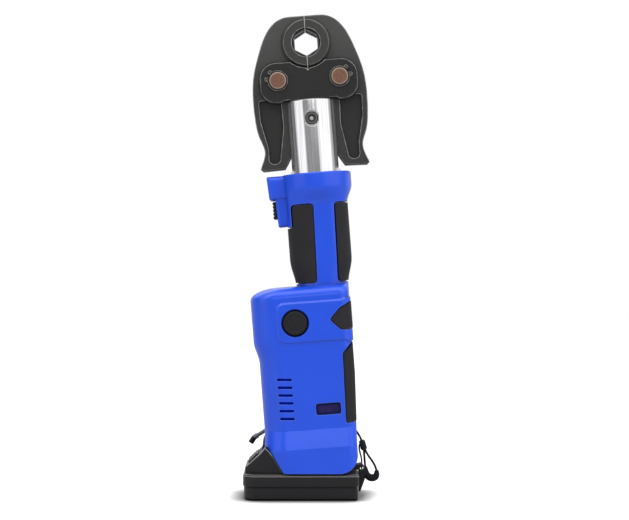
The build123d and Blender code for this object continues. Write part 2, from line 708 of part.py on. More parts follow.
def front_pad_region(gap=0.0):
    """The front grip pad seen from the side: it wraps round the front below the trigger block."""
    top = GRIP_TOP - 3.3 + gap
    low = BODY_TOP + 3.2 - gap
    step = BLOCK_LOW - 1.8 + gap
    inner = -24.2 - gap
    face = outline([(inner, top), (-5.6 + gap, top), (-7.2 + gap, low), (-BEHIND, low), (-BEHIND, step),
                    (inner, step)], [3.5, 3.5, 3.5, 0, 0, 0])
    return slab(face, REACH)


def rear_pad_region(gap=0.0):
    top = GRIP_TOP - 3.3 + gap
    low = BODY_TOP + 2.6 - gap
    face = outline([(15.4 - gap, top), (BEHIND, top), (BEHIND, low), (13.9 - gap, low)], [3.5, 0, 0, 3.5])
    return slab(face, REACH)


def arrow_region(gap=0.0):
    """The arrow-shaped pad that points forward from the back of the side panel."""
    w = BODY_TOP - 31.7
    face = outline([(3.8 - 1.4 * gap, w), (12.4, w + 9.4 + gap), (18.0, w + 12.0 + gap),
                    (BEHIND, w + 36 + gap), (BEHIND, w - 11.0 - gap), (12.0, w - 8.6 - gap)],
                   [3.0, 3.6, 4.0, 0, 0, 3.0])
    return slab(face, REACH)


def strip_region(gap=0.0):
    """The back strip below the side panel."""
    top = BODY_TOP - 63.6
    low = top - 61.5
    face = outline([(13.2 - gap, top + gap), (BEHIND, top + 48 + gap), (BEHIND, low + 2 - gap),
                    (11.6 - gap, low - gap)], [2.0, 0, 0, 2.0])
    return slab(face, REACH)


def half_space(side):
    """Everything on one side of the parting line."""
    return block(-REACH, REACH, min(side, 0) * REACH, max(side, 0) * REACH, 0, REACH)


def pad(form, region, proud, depth, side):
    """A pad that stands proud of a form and sinks into its recess, on one side of the parting line."""
    shell = form(-proud) - form(depth)
    return shell & region & half_space(side)


def side_depth(w):
    """Half the depth of the case at a height."""
    if w > GRIP_TOP:
        return HOOD_HALF_WIDTH
    return BODY_HALF_DEPTH + FOOT_FLARE * flare(w)


def screw_bosses(inner):
    """Posts across the case that the case screws run through."""
    return [bar(4.2, -REACH / 4, REACH / 4, x, w) & inner for x, w in CASE_SCREWS]


def case_ribs(inner):
    """Cradle ribs for the head, the gearbox and the motor."""
    ribs = []
    for low, radius, x in ((GRIP_TOP - 12, CYLINDER_RADIUS, 0), (BODY_TOP + 20, CYLINDER_RADIUS, 0),
                           (GEARBOX_BOTTOM + 20, GEARBOX_RADIUS, GEAR_X),
                           (MOTOR_BOTTOM + 40, MOTOR_RADIUS, GEAR_X),
                           (MOTOR_BOTTOM + 10, MOTOR_RADIUS, GEAR_X)):
        rib = inner & block(-REACH, REACH, -REACH, REACH, low, low + 2.4)
        rib -= post(radius + SLIDING, low - 1, low + 4, x)
        ribs.append(rib - block(BOARD_X - SEAT, BOARD_X + BOARD_THICKNESS + SEAT, -24.2, 24.2, 0, REACH))
    return ribs


def vent_web(inner):
    """A web on the parting line, in front of the motor and the gearbox, that backs the vents."""
    low = VENT_TOP - VENT_COUNT * VENT_PITCH
    edge = GEARBOX_BOTTOM - SLIDING
    top = VENT_TOP + VENT_PITCH
    beside_motor = block(-REACH, GEAR_X - MOTOR_RADIUS - SLIDING, -WEB_HALF, WEB_HALF, low, edge)
    beside_gears = block(-REACH, GEAR_X - GEARBOX_RADIUS - SLIDING, -WEB_HALF, WEB_HALF, edge, top)
    return inner & (beside_motor + beside_gears)


def screw_holes():
    """Thread, shank and head room for the case screws."""
    holes = []
    for x, w in [*CASE_SCREWS, HOOD_SCREW]:
        seat = side_depth(w) - 6
        holes.append(bar(SCREW_RADIUS + RUNNING, -0.4 * side_depth(w) - 1, seat + 1, x, w))
        holes.append(bar(3.4, seat, seat + 20, x, w))
    return holes


def case_screws():
    """Pan-head screws driven from the right side."""
    screws = []
    for x, w in [*CASE_SCREWS, HOOD_SCREW]:
        seat = side_depth(w) - 6
        screw = bar(SCREW_RADIUS, -0.4 * side_depth(w), seat, x, w) + bar(3.0, seat, seat + 2.2, x, w)
        screws.append(screw - block(x - 2, x + 2, seat + 1.2, seat + 3, w - 0.4, w + 0.4))
    return group(screws)


def vent_slots():
    """A column of level slots through both sides."""
    slots = []
    for step in range(VENT_COUNT):
        slot = SlotOverall(VENT_LENGTH, VENT_HEIGHT, rotation=-LEAN)
        slots.append(slab(Pos(VENT_X, VENT_TOP - step * VENT_PITCH) * slot, REACH))
    return slots


def window_face(gap=0.0):
    width, height = WINDOW_SIZE
    return Pos(*WINDOW_CENTRE) * RectangleRounded(width + 2 * gap, height + 2 * gap, 1.2 + gap)


def dock_openings():
    """The floor opening for the battery dock, its tongue and the way out of the battery's rail."""
    half = DOCK_HALF + SEAT
    floor = block(DOCK_FRONT - SEAT, DOCK_BACK + SEAT, -half, half, 0, FOOT_Z + WALL + 2.0)
    tongue = block(DOCK_BACK - 3, REACH, -TONGUE_HALF - SEAT, TONGUE_HALF + SEAT, 0, TONGUE_TOP + SEAT)
    half = RAIL_HALF_FLANGE + 2 * RAIL_PLAY
    way_out = block(-REACH, DOCK_FRONT + 1, -half, half, 0, RAIL_TOP + 2 * RAIL_PLAY)
    return [unlean(floor), unlean(tongue), unlean(way_out)]


def bend_radii(route):
    """For each inner point of a route, the largest easy arc that its two runs leave room for."""
    points = [Vector(*point) for point in route]
    radii = []
    for before, here, after in zip(points, points[1:], points[2:]):
        turn = radians((here - before).get_angle(after - here))
        radii.append(0.45 * min((here - before).length, (after - here).length) / tan(turn / 2))
    return radii


def strap_tube(radius):
    """A round tube along the strap's route."""
    line = FilletPolyline(*STRAP_ROUTE, radius=bend_radii(STRAP_ROUTE))
    return sweep(Plane(line @ 0, z_dir=line % 0) * Circle(radius), path=line)


def strap_slider():
    """The cord stop on the strap."""
    stop = Box(*SLIDER_SIZE)
    stop = fillet(stop.edges(), SLIDER_ROUND)
    return Pos(*SLIDER_CENTRE) * Rot(0, -SLIDER_TILT, 0) * stop - strap_tube(CORD_RADIUS + SEAT)


def strap_sleeve():
    """The soft sleeve round the bottom of the strap loop."""
    above, first, last, beyond = [Vector(*point) for point in STRAP_ROUTE[3:7]]
    start = first + (above - first).normalized() * SLEEVE_REACH
    end = last + (beyond - last).normalized() * SLEEVE_REACH
    line = FilletPolyline(start, first, last, end, radius=bend_radii(STRAP_ROUTE)[3:5])
    tube = sweep(Plane(line @ 0, z_dir=line % 0) * Circle(SLEEVE_RADIUS), path=line)
    return tube - strap_tube(CORD_RADIUS + SEAT)


def case():
    """The whole hollow case before it is parted down the middle."""
    outer = body_form() + grip_form() + collar_form() + hood_form() + block_form()
    outer += body_form(-PANEL_RISE) & panel_region()
    outer &= foot_region(0)
    inner = body_form(WALL) + grip_form(WALL) & block(-REACH, REACH, -REACH, REACH, 0, LEDGE_W)
    inner += post(GRIP_HALF_DEPTH - WALL, GRIP_TOP, LEDGE_W)
    inner &= foot_region(WALL)
    trigger_room = block(-BLOCK_FRONT + WALL, -15, -8.8, 8.8, BLOCK_LOW + WALL, TRIGGER_TOP + 1.2)
    shell = outer - inner
    shell += case_ribs(inner)
    shell += screw_bosses(inner)
    shell -= trigger_room
    shell -= post(HEAD_RADIUS + BUSHING_WALL, SEAT_W, COLLAR_TOP + 1)
    shell -= post(CYLINDER_RADIUS + SLIDING, LEDGE_W - 1, SEAT_W + 1)
    gap = SLIDING
    shell -= block(-REACH, -BLOCK_FRONT + WALL + 1, -TRIGGER_HALF_WIDTH - gap, TRIGGER_HALF_WIDTH + gap,
                   TRIGGER_LOW - gap, TRIGGER_TOP + gap)
    shell -= front_pad_region(PAD_GAP) - grip_form(PAD_DEPTH)
    shell -= rear_pad_region(PAD_GAP) - grip_form(PAD_DEPTH)
    shell -= arrow_region(PAD_GAP) - body_form(PAD_DEPTH - PANEL_RISE)
    shell -= strip_region(PAD_GAP) - body_form(PAD_DEPTH)
    shell -= vent_slots()
    shell += vent_web(inner)
    shell -= screw_holes()
    return shell - dock_openings()


def button_bevel():
    """The bevel round the release button's hole, on the side panel."""
    outside = BODY_HALF_DEPTH + PANEL_RISE
    radius = BUTTON_RADIUS + BUTTON_GAP
    cone = Cone(radius, radius + 2 * BUTTON_BEVEL, 2 * BUTTON_BEVEL)
    return Pos(BUTTON_X, -outside, BUTTON_W) * Rot(90, 0, 0) * cone


def left_case_half(whole):
    """The half that carries the release button and the indicator window."""
    half = whole & half_space(-1)
    half -= bar(BUTTON_RADIUS + BUTTON_GAP, -REACH, -BODY_HALF_DEPTH + WALL + 1, BUTTON_X, BUTTON_W)
    flange_room = BUTTON_RADIUS + BUTTON_FLANGE + BUTTON_GAP
    half -= bar(flange_room, -BODY_HALF_DEPTH + WALL, -PUMP_HALF_DEPTH, BUTTON_X, BUTTON_W)
    half -= button_bevel()
    outside = REACH - BODY_HALF_DEPTH
    half -= Pos(0, -REACH, 0) * slab(window_face(), outside + WALL + 1)
    return half - Pos(0, -REACH, 0) * slab(window_face(WINDOW_RIM), outside + WINDOW_SUNK + WINDOW_RIM)


def right_case_half(whole):
    """The half with the strap's hole and the side hook's screw."""
    half = whole & half_space(1)
    half -= unlean(strap_tube(CORD_RADIUS + SEAT))
    return half - unlean(bar(SCREW_RADIUS + RUNNING, BODY_HALF_DEPTH - 8, REACH, HOOK_X, HOOK_Z))


def side_hook():
    """A wire hook on the right side that reaches forward and bends down past the front, with a thick tip."""
    near = BODY_HALF_DEPTH + SEAT + HOOK_RADIUS
    far = near + HOOK_STAND
    bend = Vector(HOOK_X - 57.2, far, HOOK_Z - 35.3)
    tip = Vector(HOOK_X - 60, far, HOOK_Z - 39.8)
    out = Vector(HOOK_X - 18, far, HOOK_Z - 10.4)
    line = FilletPolyline((HOOK_X + 8, near, HOOK_Z + 8), (HOOK_X - 6, near, HOOK_Z - 6), out, bend, tip,
                          radius=HOOK_BEND)
    wire = sweep(Plane(line @ 0, z_dir=line % 0) * Circle(HOOK_RADIUS), path=line)
    end = FilletPolyline(bend + (out - bend).normalized() * HOOK_TIP_REACH, bend,
                         tip + (tip - bend).normalized() * HOOK_TIP_END, radius=HOOK_BEND)
    cap = sweep(Plane(end @ 0, z_dir=end % 0) * Circle(HOOK_TIP_RADIUS), path=end)
    plate = bar(HOOK_PLATE_RADIUS, BODY_HALF_DEPTH + SEAT, near + HOOK_RADIUS, HOOK_X, HOOK_Z)
    return wire + cap + plate - bar(SCREW_RADIUS + RUNNING, 0, REACH, HOOK_X, HOOK_Z)


def hook_screw():
    near = BODY_HALF_DEPTH + SEAT + 2 * HOOK_RADIUS
    head = bar(3.4, near, near + 2.4, HOOK_X, HOOK_Z)
    head -= block(HOOK_X - 2.2, HOOK_X + 2.2, near + 1.3, near + 3, HOOK_Z - 0.4, HOOK_Z + 0.4)
    return head + bar(SCREW_RADIUS, BODY_HALF_DEPTH - 7.5, near, HOOK_X, HOOK_Z)


# Controls

def trigger():
    """The ribbed press trigger, held in the block by its flange."""
    face = -BLOCK_FRONT - TRIGGER_PROUD
    inner = -BLOCK_FRONT + WALL
    width = TRIGGER_HALF_WIDTH
    key = block(face + 1.2, inner + 1, -width, width, TRIGGER_LOW, TRIGGER_TOP)
    rib_pitch = TRIGGER_HEIGHT / 5
    for step in range(5):
        w = TRIGGER_LOW + rib_pitch * (step + 0.5)
        key += bar(rib_pitch / 2, -width, width, face + rib_pitch / 2, w)
    flange = block(inner + 1, inner + 3, -8.4, 8.4, TRIGGER_LOW - 1.2, TRIGGER_TOP + 0.9)
    return key + flange + block(inner + 3, inner + 4.2, -3, 3, TRIGGER_LOW + 6, TRIGGER_TOP - 6)


def trigger_switch():
    """The switch behind the trigger, with room for the trigger's travel."""
    front = -BLOCK_FRONT + WALL + 4.3 + TRIGGER_TRAVEL + 0.3
    back = -CYLINDER_RADIUS - 2.2
    return block(front, back, -8.5, 8.5, BLOCK_LOW + WALL + SEAT, TRIGGER_TOP + 1.2 - SEAT)


def release_button():
    """The round press button that opens the release valve."""
    face = BODY_HALF_DEPTH + PANEL_RISE + 1.0
    wall_inner = BODY_HALF_DEPTH - WALL
    cap = bar(BUTTON_RADIUS, -face, -wall_inner + 0.3, BUTTON_X, BUTTON_W)
    cap = fillet(cap.edges().filter_by(GeomType.CIRCLE).sort_by(Axis.Y)[:1], 1.2)
    cap -= bar(BUTTON_RADIUS - 3.4, -face - 1, -face + 0.5, BUTTON_X, BUTTON_W)
    cap += bar(BUTTON_RADIUS - 5.0, -face + 0.2, -face + 1, BUTTON_X, BUTTON_W)
    flange = bar(BUTTON_RADIUS + BUTTON_FLANGE, -wall_inner + 0.3, -wall_inner + 2.2, BUTTON_X, BUTTON_W)
    stem = bar(3.0, -wall_inner + 2.2, -PUMP_HALF_DEPTH - 1.4 - BUTTON_TRAVEL, BUTTON_X, BUTTON_W)
    return cap + flange + stem


def release_valve():
    """The valve cartridge in the pump block that the button's stem presses."""
    valve = bar(6.0, -PUMP_HALF_DEPTH - 1.2, -PUMP_HALF_DEPTH, BUTTON_X, BUTTON_W)
    return valve + bar(4.0, -PUMP_HALF_DEPTH, -PUMP_HALF_DEPTH + 7, BUTTON_X, BUTTON_W)


def button_spring():
    """The coil under the release button, standing on the pump block."""
    margin = 0.65
    height = BODY_HALF_DEPTH - WALL - 2.2 - PUMP_HALF_DEPTH - 2 * margin
    line = Helix(pitch=height / 2.2, height=height, radius=8.2)
    wire = sweep(Plane(line @ 0, z_dir=line % 0) * Circle(0.5), path=line, is_frenet=True)
    return Pos(BUTTON_X, -PUMP_HALF_DEPTH - margin, BUTTON_W) * Rot(90, 0, 0) * wire


def indicator_window():
    """The dark lens, sunk in the left half's wall."""
    front = -BODY_HALF_DEPTH + WINDOW_SUNK
    back = -BODY_HALF_DEPTH + WALL + 0.6
    return Pos(0, (front + back) / 2, 0) * slab(window_face(-SEAT), (back - front) / 2)


def indicator_board():
    x, w = WINDOW_CENTRE
    low = -BODY_HALF_DEPTH + 3.6 + SEAT
    board = block(x - 13.5, x + 13.5, low, low + 1.6, w - 8, w + 8)
    lights = [bar(1.5, low - 0.05, low + 0.01, x + step * 6, w) for step in (-1, 0, 1)]
    return board + lights


# Pump, gearbox and motor

def pump_block():
    """The hydraulic block: a spigot up into the cylinder, a crank chamber and a plunger bore."""
    body = block(GEAR_X - 22, 17.0, -PUMP_HALF_DEPTH, PUMP_HALF_DEPTH, PUMP_BOTTOM, PUMP_TOP)
    body = chamfer(body.edges().filter_by(Axis.Z), 3)
    body = chamfer([e for e in level_edges(body, PUMP_TOP) if (e @ 0.5).X > 13], 5)
    body += post(BORE_RADIUS - RUNNING, PUMP_BOTTOM + 10, CYLINDER_FLOOR)
    body -= post(ECCENTRIC_RADIUS + ECCENTRICITY + 1, PUMP_BOTTOM - 1, PUMP_BOTTOM + 18, GEAR_X)
    body -= rail(PLUNGER_RADIUS + RUNNING, GEAR_X, 12.0, 0, PUMP_BOTTOM + 8)
    body -= bar(4.0 + RUNNING, -REACH, -PUMP_HALF_DEPTH + 7, BUTTON_X, BUTTON_W)
    return body - post(2.5, PUMP_BOTTOM + 8, CYLINDER_FLOOR + 1)


def pump_plunger():
    """The plunger, shown at the end of its stroke against the eccentric's bearing."""
    start = GEAR_X + ECCENTRICITY + ECCENTRIC_RADIUS + RUNNING
    return rail(PLUNGER_RADIUS, start, 9.0, 0, PUMP_BOTTOM + 8)


def oil_bladder():
    """The rubber oil reservoir in front of the pump block."""
    sac = block(-63.0, GEAR_X - 25, -21, 21, PUMP_BOTTOM + 2, PUMP_TOP - 7)
    sac = fillet(sac.edges(), 5)
    return sac + rail(5.0, GEAR_X - 27, GEAR_X - 22, 0, PUMP_BOTTOM + 18)


def gear_face(teeth, tip, root, start):
    """A toothed outline: straight-flanked teeth between a tip and a root circle."""
    pitch = 2 * pi / teeth
    points = []
    for tooth in range(teeth):
        centre = radians(start) + tooth * pitch
        for radius, turn in ((root, -0.27), (tip, -0.11), (tip, 0.11), (root, 0.27)):
            angle = centre + turn * pitch
            points.append((radius * cos(angle), radius * sin(angle)))
    return make_face(Polyline(*points, close=True))


def spur_gear(teeth, start, x, y, low, high):
    middle = GEAR_MODULE * teeth / 2
    face = gear_face(teeth, middle + 0.85 * GEAR_MODULE, middle - 1.2 * GEAR_MODULE, start)
    return extrude(Pos(x, y, low) * face, amount=high - low)


def planet_place(index):
    angle = 2 * pi * index / PLANET_COUNT
    return GEAR_X + CARRIER_RADIUS * cos(angle), CARRIER_RADIUS * sin(angle), 360.0 * index / PLANET_COUNT


def planet_gear(index):
    x, y, start = planet_place(index)
    return spur_gear(PLANET_TEETH, start, x, y, GEAR_LOW, GEAR_HIGH) - post(2.0 + RUNNING, 0, REACH, x, y)


def gearbox_case():
    """The gearbox barrel with the fixed ring gear cut inside it."""
    shell = post(GEARBOX_RADIUS, GEARBOX_BOTTOM, PUMP_BOTTOM, GEAR_X)
    pitch = 180.0 / RING_TEETH
    middle = GEAR_MODULE * RING_TEETH / 2
    ring = gear_face(RING_TEETH, middle - 0.85 * GEAR_MODULE, middle + 1.2 * GEAR_MODULE, pitch)
    shell -= extrude(Pos(GEAR_X, 0, GEAR_LOW - 1) * ring, amount=GEAR_WIDTH + 2)
    shell -= post(middle + 1.2 * GEAR_MODULE, GEAR_HIGH, PUMP_BOTTOM - 6, GEAR_X)
    shell -= post(6.0, GEARBOX_BOTTOM - 1, GEAR_LOW, GEAR_X)
    return shell - post(6.0 + RUNNING, GEAR_HIGH, PUMP_BOTTOM + 1, GEAR_X)


def carrier():
    """The planet carrier with its pins, output shaft and eccentric."""
    disc_low = GEAR_HIGH + 0.6
    piece = post(CARRIER_RADIUS + 4, disc_low, disc_low + 5, GEAR_X)
    for index in range(PLANET_COUNT):
        x, y, _ = planet_place(index)
        piece += post(2.0, GEAR_LOW + 0.4, disc_low, x, y)
    piece += post(6.0, disc_low + 5, PUMP_BOTTOM + 3, GEAR_X)
    return piece + post(ECCENTRIC_RADIUS, PUMP_BOTTOM + 3, PUMP_BOTTOM + 13, GEAR_X + ECCENTRICITY)


def motor_can():
    """The motor's drawn can, open at its lower end."""
    can = post(MOTOR_RADIUS, MOTOR_BOTTOM, GEARBOX_BOTTOM, GEAR_X)
    can -= post(MOTOR_RADIUS - 2, MOTOR_BOTTOM - 1, GEARBOX_BOTTOM - 3, GEAR_X)
    return can - post(2.5 + RUNNING, 0, REACH, GEAR_X)


def motor_end_bell():
    """The plastic end bell with two terminals."""
    bell = post(MOTOR_RADIUS, MOTOR_BOTTOM - 7, MOTOR_BOTTOM, GEAR_X)
    bell -= post(2.5 + RUNNING, MOTOR_BOTTOM - 5, MOTOR_BOTTOM + 1, GEAR_X)
    for side in (-1, 1):
        y = side * 12
        bell += block(GEAR_X - 2.4, GEAR_X + 2.4, y - 0.4, y + 0.4, MOTOR_BOTTOM - 12, MOTOR_BOTTOM - 7)
    return bell


def motor_rotor():
    """Shaft, wound core and sun pinion."""
    rotor = post(2.5, MOTOR_BOTTOM - 4.8, GEAR_LOW, GEAR_X)
    rotor += post(MOTOR_RADIUS - 4, MOTOR_BOTTOM + 6, GEARBOX_BOTTOM - 8, GEAR_X)
    return rotor + spur_gear(SUN_TEETH, 0, GEAR_X, 0, GEAR_LOW, GEAR_HIGH)


def control_board():
    """The control board across the back of the body, with its parts."""
    board = block(BOARD_X, BOARD_X + BOARD_THICKNESS, -24, 24, MOTOR_BOTTOM + 4, GEARBOX_BOTTOM - 1)
    for y, w in ((-14, 78), (0, 87), (12, 78), (-6, 95)):
        board += block(BOARD_X - 2.4, BOARD_X, y - 4, y + 4, w - 4, w + 4)
    return board


# Battery dock and battery

def battery_dock():
    """The dock in the foot: lips for the battery's rail, and a tongue back to a holed lug."""
    lip = RAIL_HALF_NECK + RAIL_PLAY
    slot = RAIL_HALF_FLANGE + RAIL_PLAY
    top = RAIL_TOP + 3.0
    dock = block(DOCK_FRONT, DOCK_BACK, -DOCK_HALF, DOCK_HALF, FOOT_Z + 0.2, top)
    dock -= block(DOCK_FRONT - 1, RAIL_BACK + RAIL_PLAY, -lip, lip, 0, RAIL_LOW)
    slot_low, slot_top = RAIL_LOW - RAIL_PLAY, RAIL_TOP + RAIL_PLAY
    dock -= block(DOCK_FRONT - 1, RAIL_BACK + RAIL_PLAY, -slot, slot, slot_low, slot_top)
    flange = block(DOCK_FRONT, DOCK_BACK - 6, -DOCK_HALF - 4, DOCK_HALF + 4, FOOT_Z + WALL + SEAT, top)
    dock += flange - block(-REACH, REACH, -DOCK_HALF, DOCK_HALF, 0, REACH)
    dock += block(DOCK_BACK - 1, LUG_X, -TONGUE_HALF, TONGUE_HALF, FOOT_Z + 0.2, TONGUE_TOP)
    lug = outline([(BATTERY_BACK + SLIDING, 5.0), (BATTERY_BACK + 1.8, 4.2), (BATTERY_BACK + 6.2, 16.0),
                   (BATTERY_BACK + 6.4, 26.0), (BATTERY_BACK + 3.2, 30.4), (BATTERY_BACK + SLIDING, 29.4)],
                  [0.4, 0.5, 4, 3, 2, 0.5])
    dock += slab(lug, TONGUE_HALF)
    for y in BLADE_PLACES:
        dock -= contact_blade(y, RUNNING)
    return dock - bar(LUG_HOLE_RADIUS, -REACH, REACH, LUG_X, LUG_Z)


def contact_blade(y, gap=0.0):
    """One blade, pressed through the dock's roof."""
    half = BLADE_THICKNESS / 2 + gap
    return block(24.0 - gap, RAIL_BACK - 1 + gap, y - half, y + half, FOOT_Z + 2, RAIL_TOP + 8)


def contact_blades():
    """Power and signal blades that hang in the dock."""
    return group([contact_blade(y) for y in BLADE_PLACES])


def battery_face(inset):
    half_x = BATTERY_LENGTH / 2 - inset
    half_y = BATTERY_HALF - inset
    corners = [(-half_x, -half_y), (half_x, -half_y), (half_x, half_y), (-half_x, half_y)]
    return outline(corners, [12 - inset, 4 - inset, 4 - inset, 12 - inset])


def battery_tray():
    """The lower battery shell."""
    tray = extrude(battery_face(TRAY_STEP), amount=BATTERY_SEAM)
    tray = fillet(level_edges(tray, 0), 2.5)
    room = extrude(battery_face(TRAY_STEP + BATTERY_WALL), amount=BATTERY_SEAM)
    tray -= Pos(0, 0, BATTERY_WALL) * room
    rim = extrude(battery_face(0) - battery_face(TRAY_STEP + SEAM_DEPTH), amount=SEAM_HEIGHT)
    return tray - Pos(0, 0, BATTERY_SEAM - SEAM_HEIGHT) * rim


def front_block():
    """The raised front block: a slope with cut corners, a lip up the case's front, and clear of the case."""
    low = BATTERY_TOP - 1
    toe, knee, brow = FOOT_SLANT
    face = outline([(BLOCK_SLOPE_LOW[0] - 0.4, low), BLOCK_SLOPE_LOW, BLOCK_SLOPE_TOP, brow, knee,
                    (toe[0], low)], [0, 0, 0, 0, 6, 0])
    nose = BLOCK_HALF - BLOCK_CORNER
    plan = Polyline((BATTERY_FRONT, -nose), (BLOCK_SLOPE_TOP[0], -BLOCK_HALF), (toe[0], -BLOCK_HALF),
                    (toe[0], BLOCK_HALF), (BLOCK_SLOPE_TOP[0], BLOCK_HALF), (BATTERY_FRONT, nose), close=True)
    form = slab(face, BLOCK_HALF) & extrude(make_face(plan), amount=REACH)
    lip_top = brow[1] + LIP_RISE
    lip = Polyline(BLOCK_SLOPE_TOP, (brow[0] - 1.9, lip_top), (brow[0], lip_top), brow, close=True)
    form += slab(make_face(lip), LIP_HALF)
    return form - lean(body_form(-SLANT_GAP) & foot_region(-SLANT_GAP))


def slope_plane():
    """The plane of the block's front slope, its normal pointing out."""
    along = Vector(BLOCK_SLOPE_TOP[0] - BLOCK_SLOPE_LOW[0], 0, BLOCK_SLOPE_TOP[1] - BLOCK_SLOPE_LOW[1])
    middle = ((BLOCK_SLOPE_LOW[0] + BLOCK_SLOPE_TOP[0]) / 2, 0, (BLOCK_SLOPE_LOW[1] + BLOCK_SLOPE_TOP[1]) / 2)
    return Plane(middle, x_dir=along, z_dir=Vector(-along.Z, 0, along.X))


def battery_cover():
    """The upper battery shell with its front block and slide rail."""
    low = BATTERY_SEAM
    shell = Pos(0, 0, low) * extrude(battery_face(0), amount=BATTERY_TOP - low)
    shell = chamfer(level_edges(shell, BATTERY_TOP), BATTERY_BEVEL)
    room = Pos(0, 0, low) * extrude(battery_face(BATTERY_WALL), amount=BATTERY_TOP - low - BATTERY_WALL)
    neck = block(RAIL_FRONT, RAIL_BACK, -RAIL_HALF_NECK, RAIL_HALF_NECK, BATTERY_TOP - 1, RAIL_LOW + 1)
    flange = block(RAIL_FRONT, RAIL_BACK, -RAIL_HALF_FLANGE, RAIL_HALF_FLANGE, RAIL_LOW, RAIL_TOP)
    shell += [front_block(), neck, flange]
    shell -= room
    shell -= block(RAIL_FRONT + 4, 20, -17, 17, BATTERY_TOP - 5, RAIL_TOP - 2)
    for y in BLADE_PLACES:
        low, top = BATTERY_TOP + 0.8, RAIL_TOP + 1
        shell -= block(22.5, RAIL_BACK + 1, y - BLADE_THICKNESS, y + BLADE_THICKNESS, low, top)
    pocket = Box(LATCH_LENGTH + 2 * SLIDING, 2 * (LATCH_HALF + SLIDING), 2 * LATCH_DEPTH)
    return shell - slope_plane().location * pocket


def battery_button():
    """The ribbed release key on the battery's front slope."""
    top = 1.4
    low = 3.6 - LATCH_DEPTH
    body = Pos(0, 0, (low + top) / 2) * Box(LATCH_LENGTH, 2 * LATCH_HALF, top - low)
    for step in (-1.5, -0.5, 0.5, 1.5):
        body += Pos(step * 2.6, 0, top) * Rot(90, 0, 0) * Cylinder(0.7, 2 * LATCH_HALF - 4)
    return slope_plane().location * body


def cell_places():
    return [(step - (CELL_COUNT - 1) / 2) * CELL_PITCH + 1.8 for step in range(CELL_COUNT)]


def battery_cells():
    return group([bar(CELL_RADIUS, -CELL_LENGTH / 2, CELL_LENGTH / 2, x, CELL_Z) for x in cell_places()])


def cell_links():
    """Welded strips that join the cells' ends."""
    ends = cell_places()
    strips = []
    for side, pairs in ((-1, ((0, 1), (2, 3), (4, 4))), (1, ((0, 0), (1, 2), (3, 4)))):
        y = side * (CELL_LENGTH / 2 + 0.2)
        for first, last in pairs:
            strips.append(block(ends[first] - 4, ends[last] + 4, y - 0.15, y + 0.15, CELL_Z - 4, CELL_Z + 4))
    return group(strips)


def battery_board():
    """The protection board inside the rail."""
    top = RAIL_TOP - 2
    return block(RAIL_FRONT + 4.2, 19.8, -16.8, 16.8, top - 1.7, top - SEAT)


def parts():
    """Every piece with its name, where the leaning ones are still upright."""
    whole = case()
    leaning = {
        "left_case_half": left_case_half(whole),
        "right_case_half": right_case_half(whole),
        "indicator_window": indicator_window(),
        "indicator_board": indicator_board(),
        "trigger": trigger(),
        "trigger_switch": trigger_switch(),
        "release_button": release_button(),
        "release_valve": release_valve(),
        "button_spring": button_spring(),
        "head_bushing": head_bushing(),
        "head_tube": head_tube(),
        "head_ring": head_ring(),
        "retaining_pin": retaining_pin(),
        "front_link_plate": link_plate(-1),
        "rear_link_plate": rear_link_plate(),
        "left_jaw_pin": jaw_pin(-PIN_SPREAD),
        "right_jaw_pin": jaw_pin(PIN_SPREAD),
        "pin_clips": pin_clips(),
        "jaw_spring": jaw_spring(),
        "left_jaw": left_jaw(),
        "right_jaw": right_jaw(),
        "roller_yoke": roller_yoke(),
        "roller_pins": roller_pins(),
        "left_roller": roller(-ROLLER_SPREAD),
        "right_roller": roller(ROLLER_SPREAD),
        "piston": piston(),
        "piston_seal": piston_seal(),
        "spring_seat": spring_seat(),
        "return_spring": return_spring(),
        "pump_block": pump_block(),
        "pump_plunger": pump_plunger(),
        "oil_bladder": oil_bladder(),
        "gearbox_case": gearbox_case(),
        "carrier": carrier(),
        "motor_can": motor_can(),
        "motor_end_bell": motor_end_bell(),
        "motor_rotor": motor_rotor(),
        "control_board": control_board(),
    }
    for index in range(PLANET_COUNT):
        leaning[f"planet_gear_{index + 1}"] = planet_gear(index)
    for name, side in (("left", -1), ("right", 1)):
        leaning[f"{name}_front_pad"] = pad(grip_form, front_pad_region(), PAD_PROUD, PAD_DEPTH - SEAT, side)
        leaning[f"{name}_rear_pad"] = pad(grip_form, rear_pad_region(), PAD_PROUD, PAD_DEPTH - SEAT, side)
        arrow = pad(body_form, arrow_region(), PANEL_RISE + PAD_PROUD, PAD_DEPTH - PANEL_RISE - SEAT, side)
        strip = pad(body_form, strip_region(), PAD_PROUD, PAD_DEPTH - SEAT, side)
        leaning[f"{name}_back_pads"] = group([arrow, strip])
    pieces = {name: lean(shape) for name, shape in leaning.items()}
    pieces.update({
        "side_hook": side_hook(),
        "case_screws": group([lean(case_screws()), hook_screw()]),
        "battery_dock": battery_dock(),
        "contact_blades": contact_blades(),
        "battery_tray": battery_tray(),
        "battery_cover": battery_cover(),
        "battery_button": battery_button(),
        "battery_cells": battery_cells(),
        "cell_links": cell_links(),
        "battery_board": battery_board(),
        "strap_cord": strap_tube(CORD_RADIUS),
        "strap_slider": strap_slider(),
        "strap_sleeve": strap_sleeve(),
    })
    return pieces


if __name__ == "__main__":
    for name, shape in parts().items():
        export_step(shape, f"parts/{name}.step")
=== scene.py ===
from math import cos, pi, radians, sin

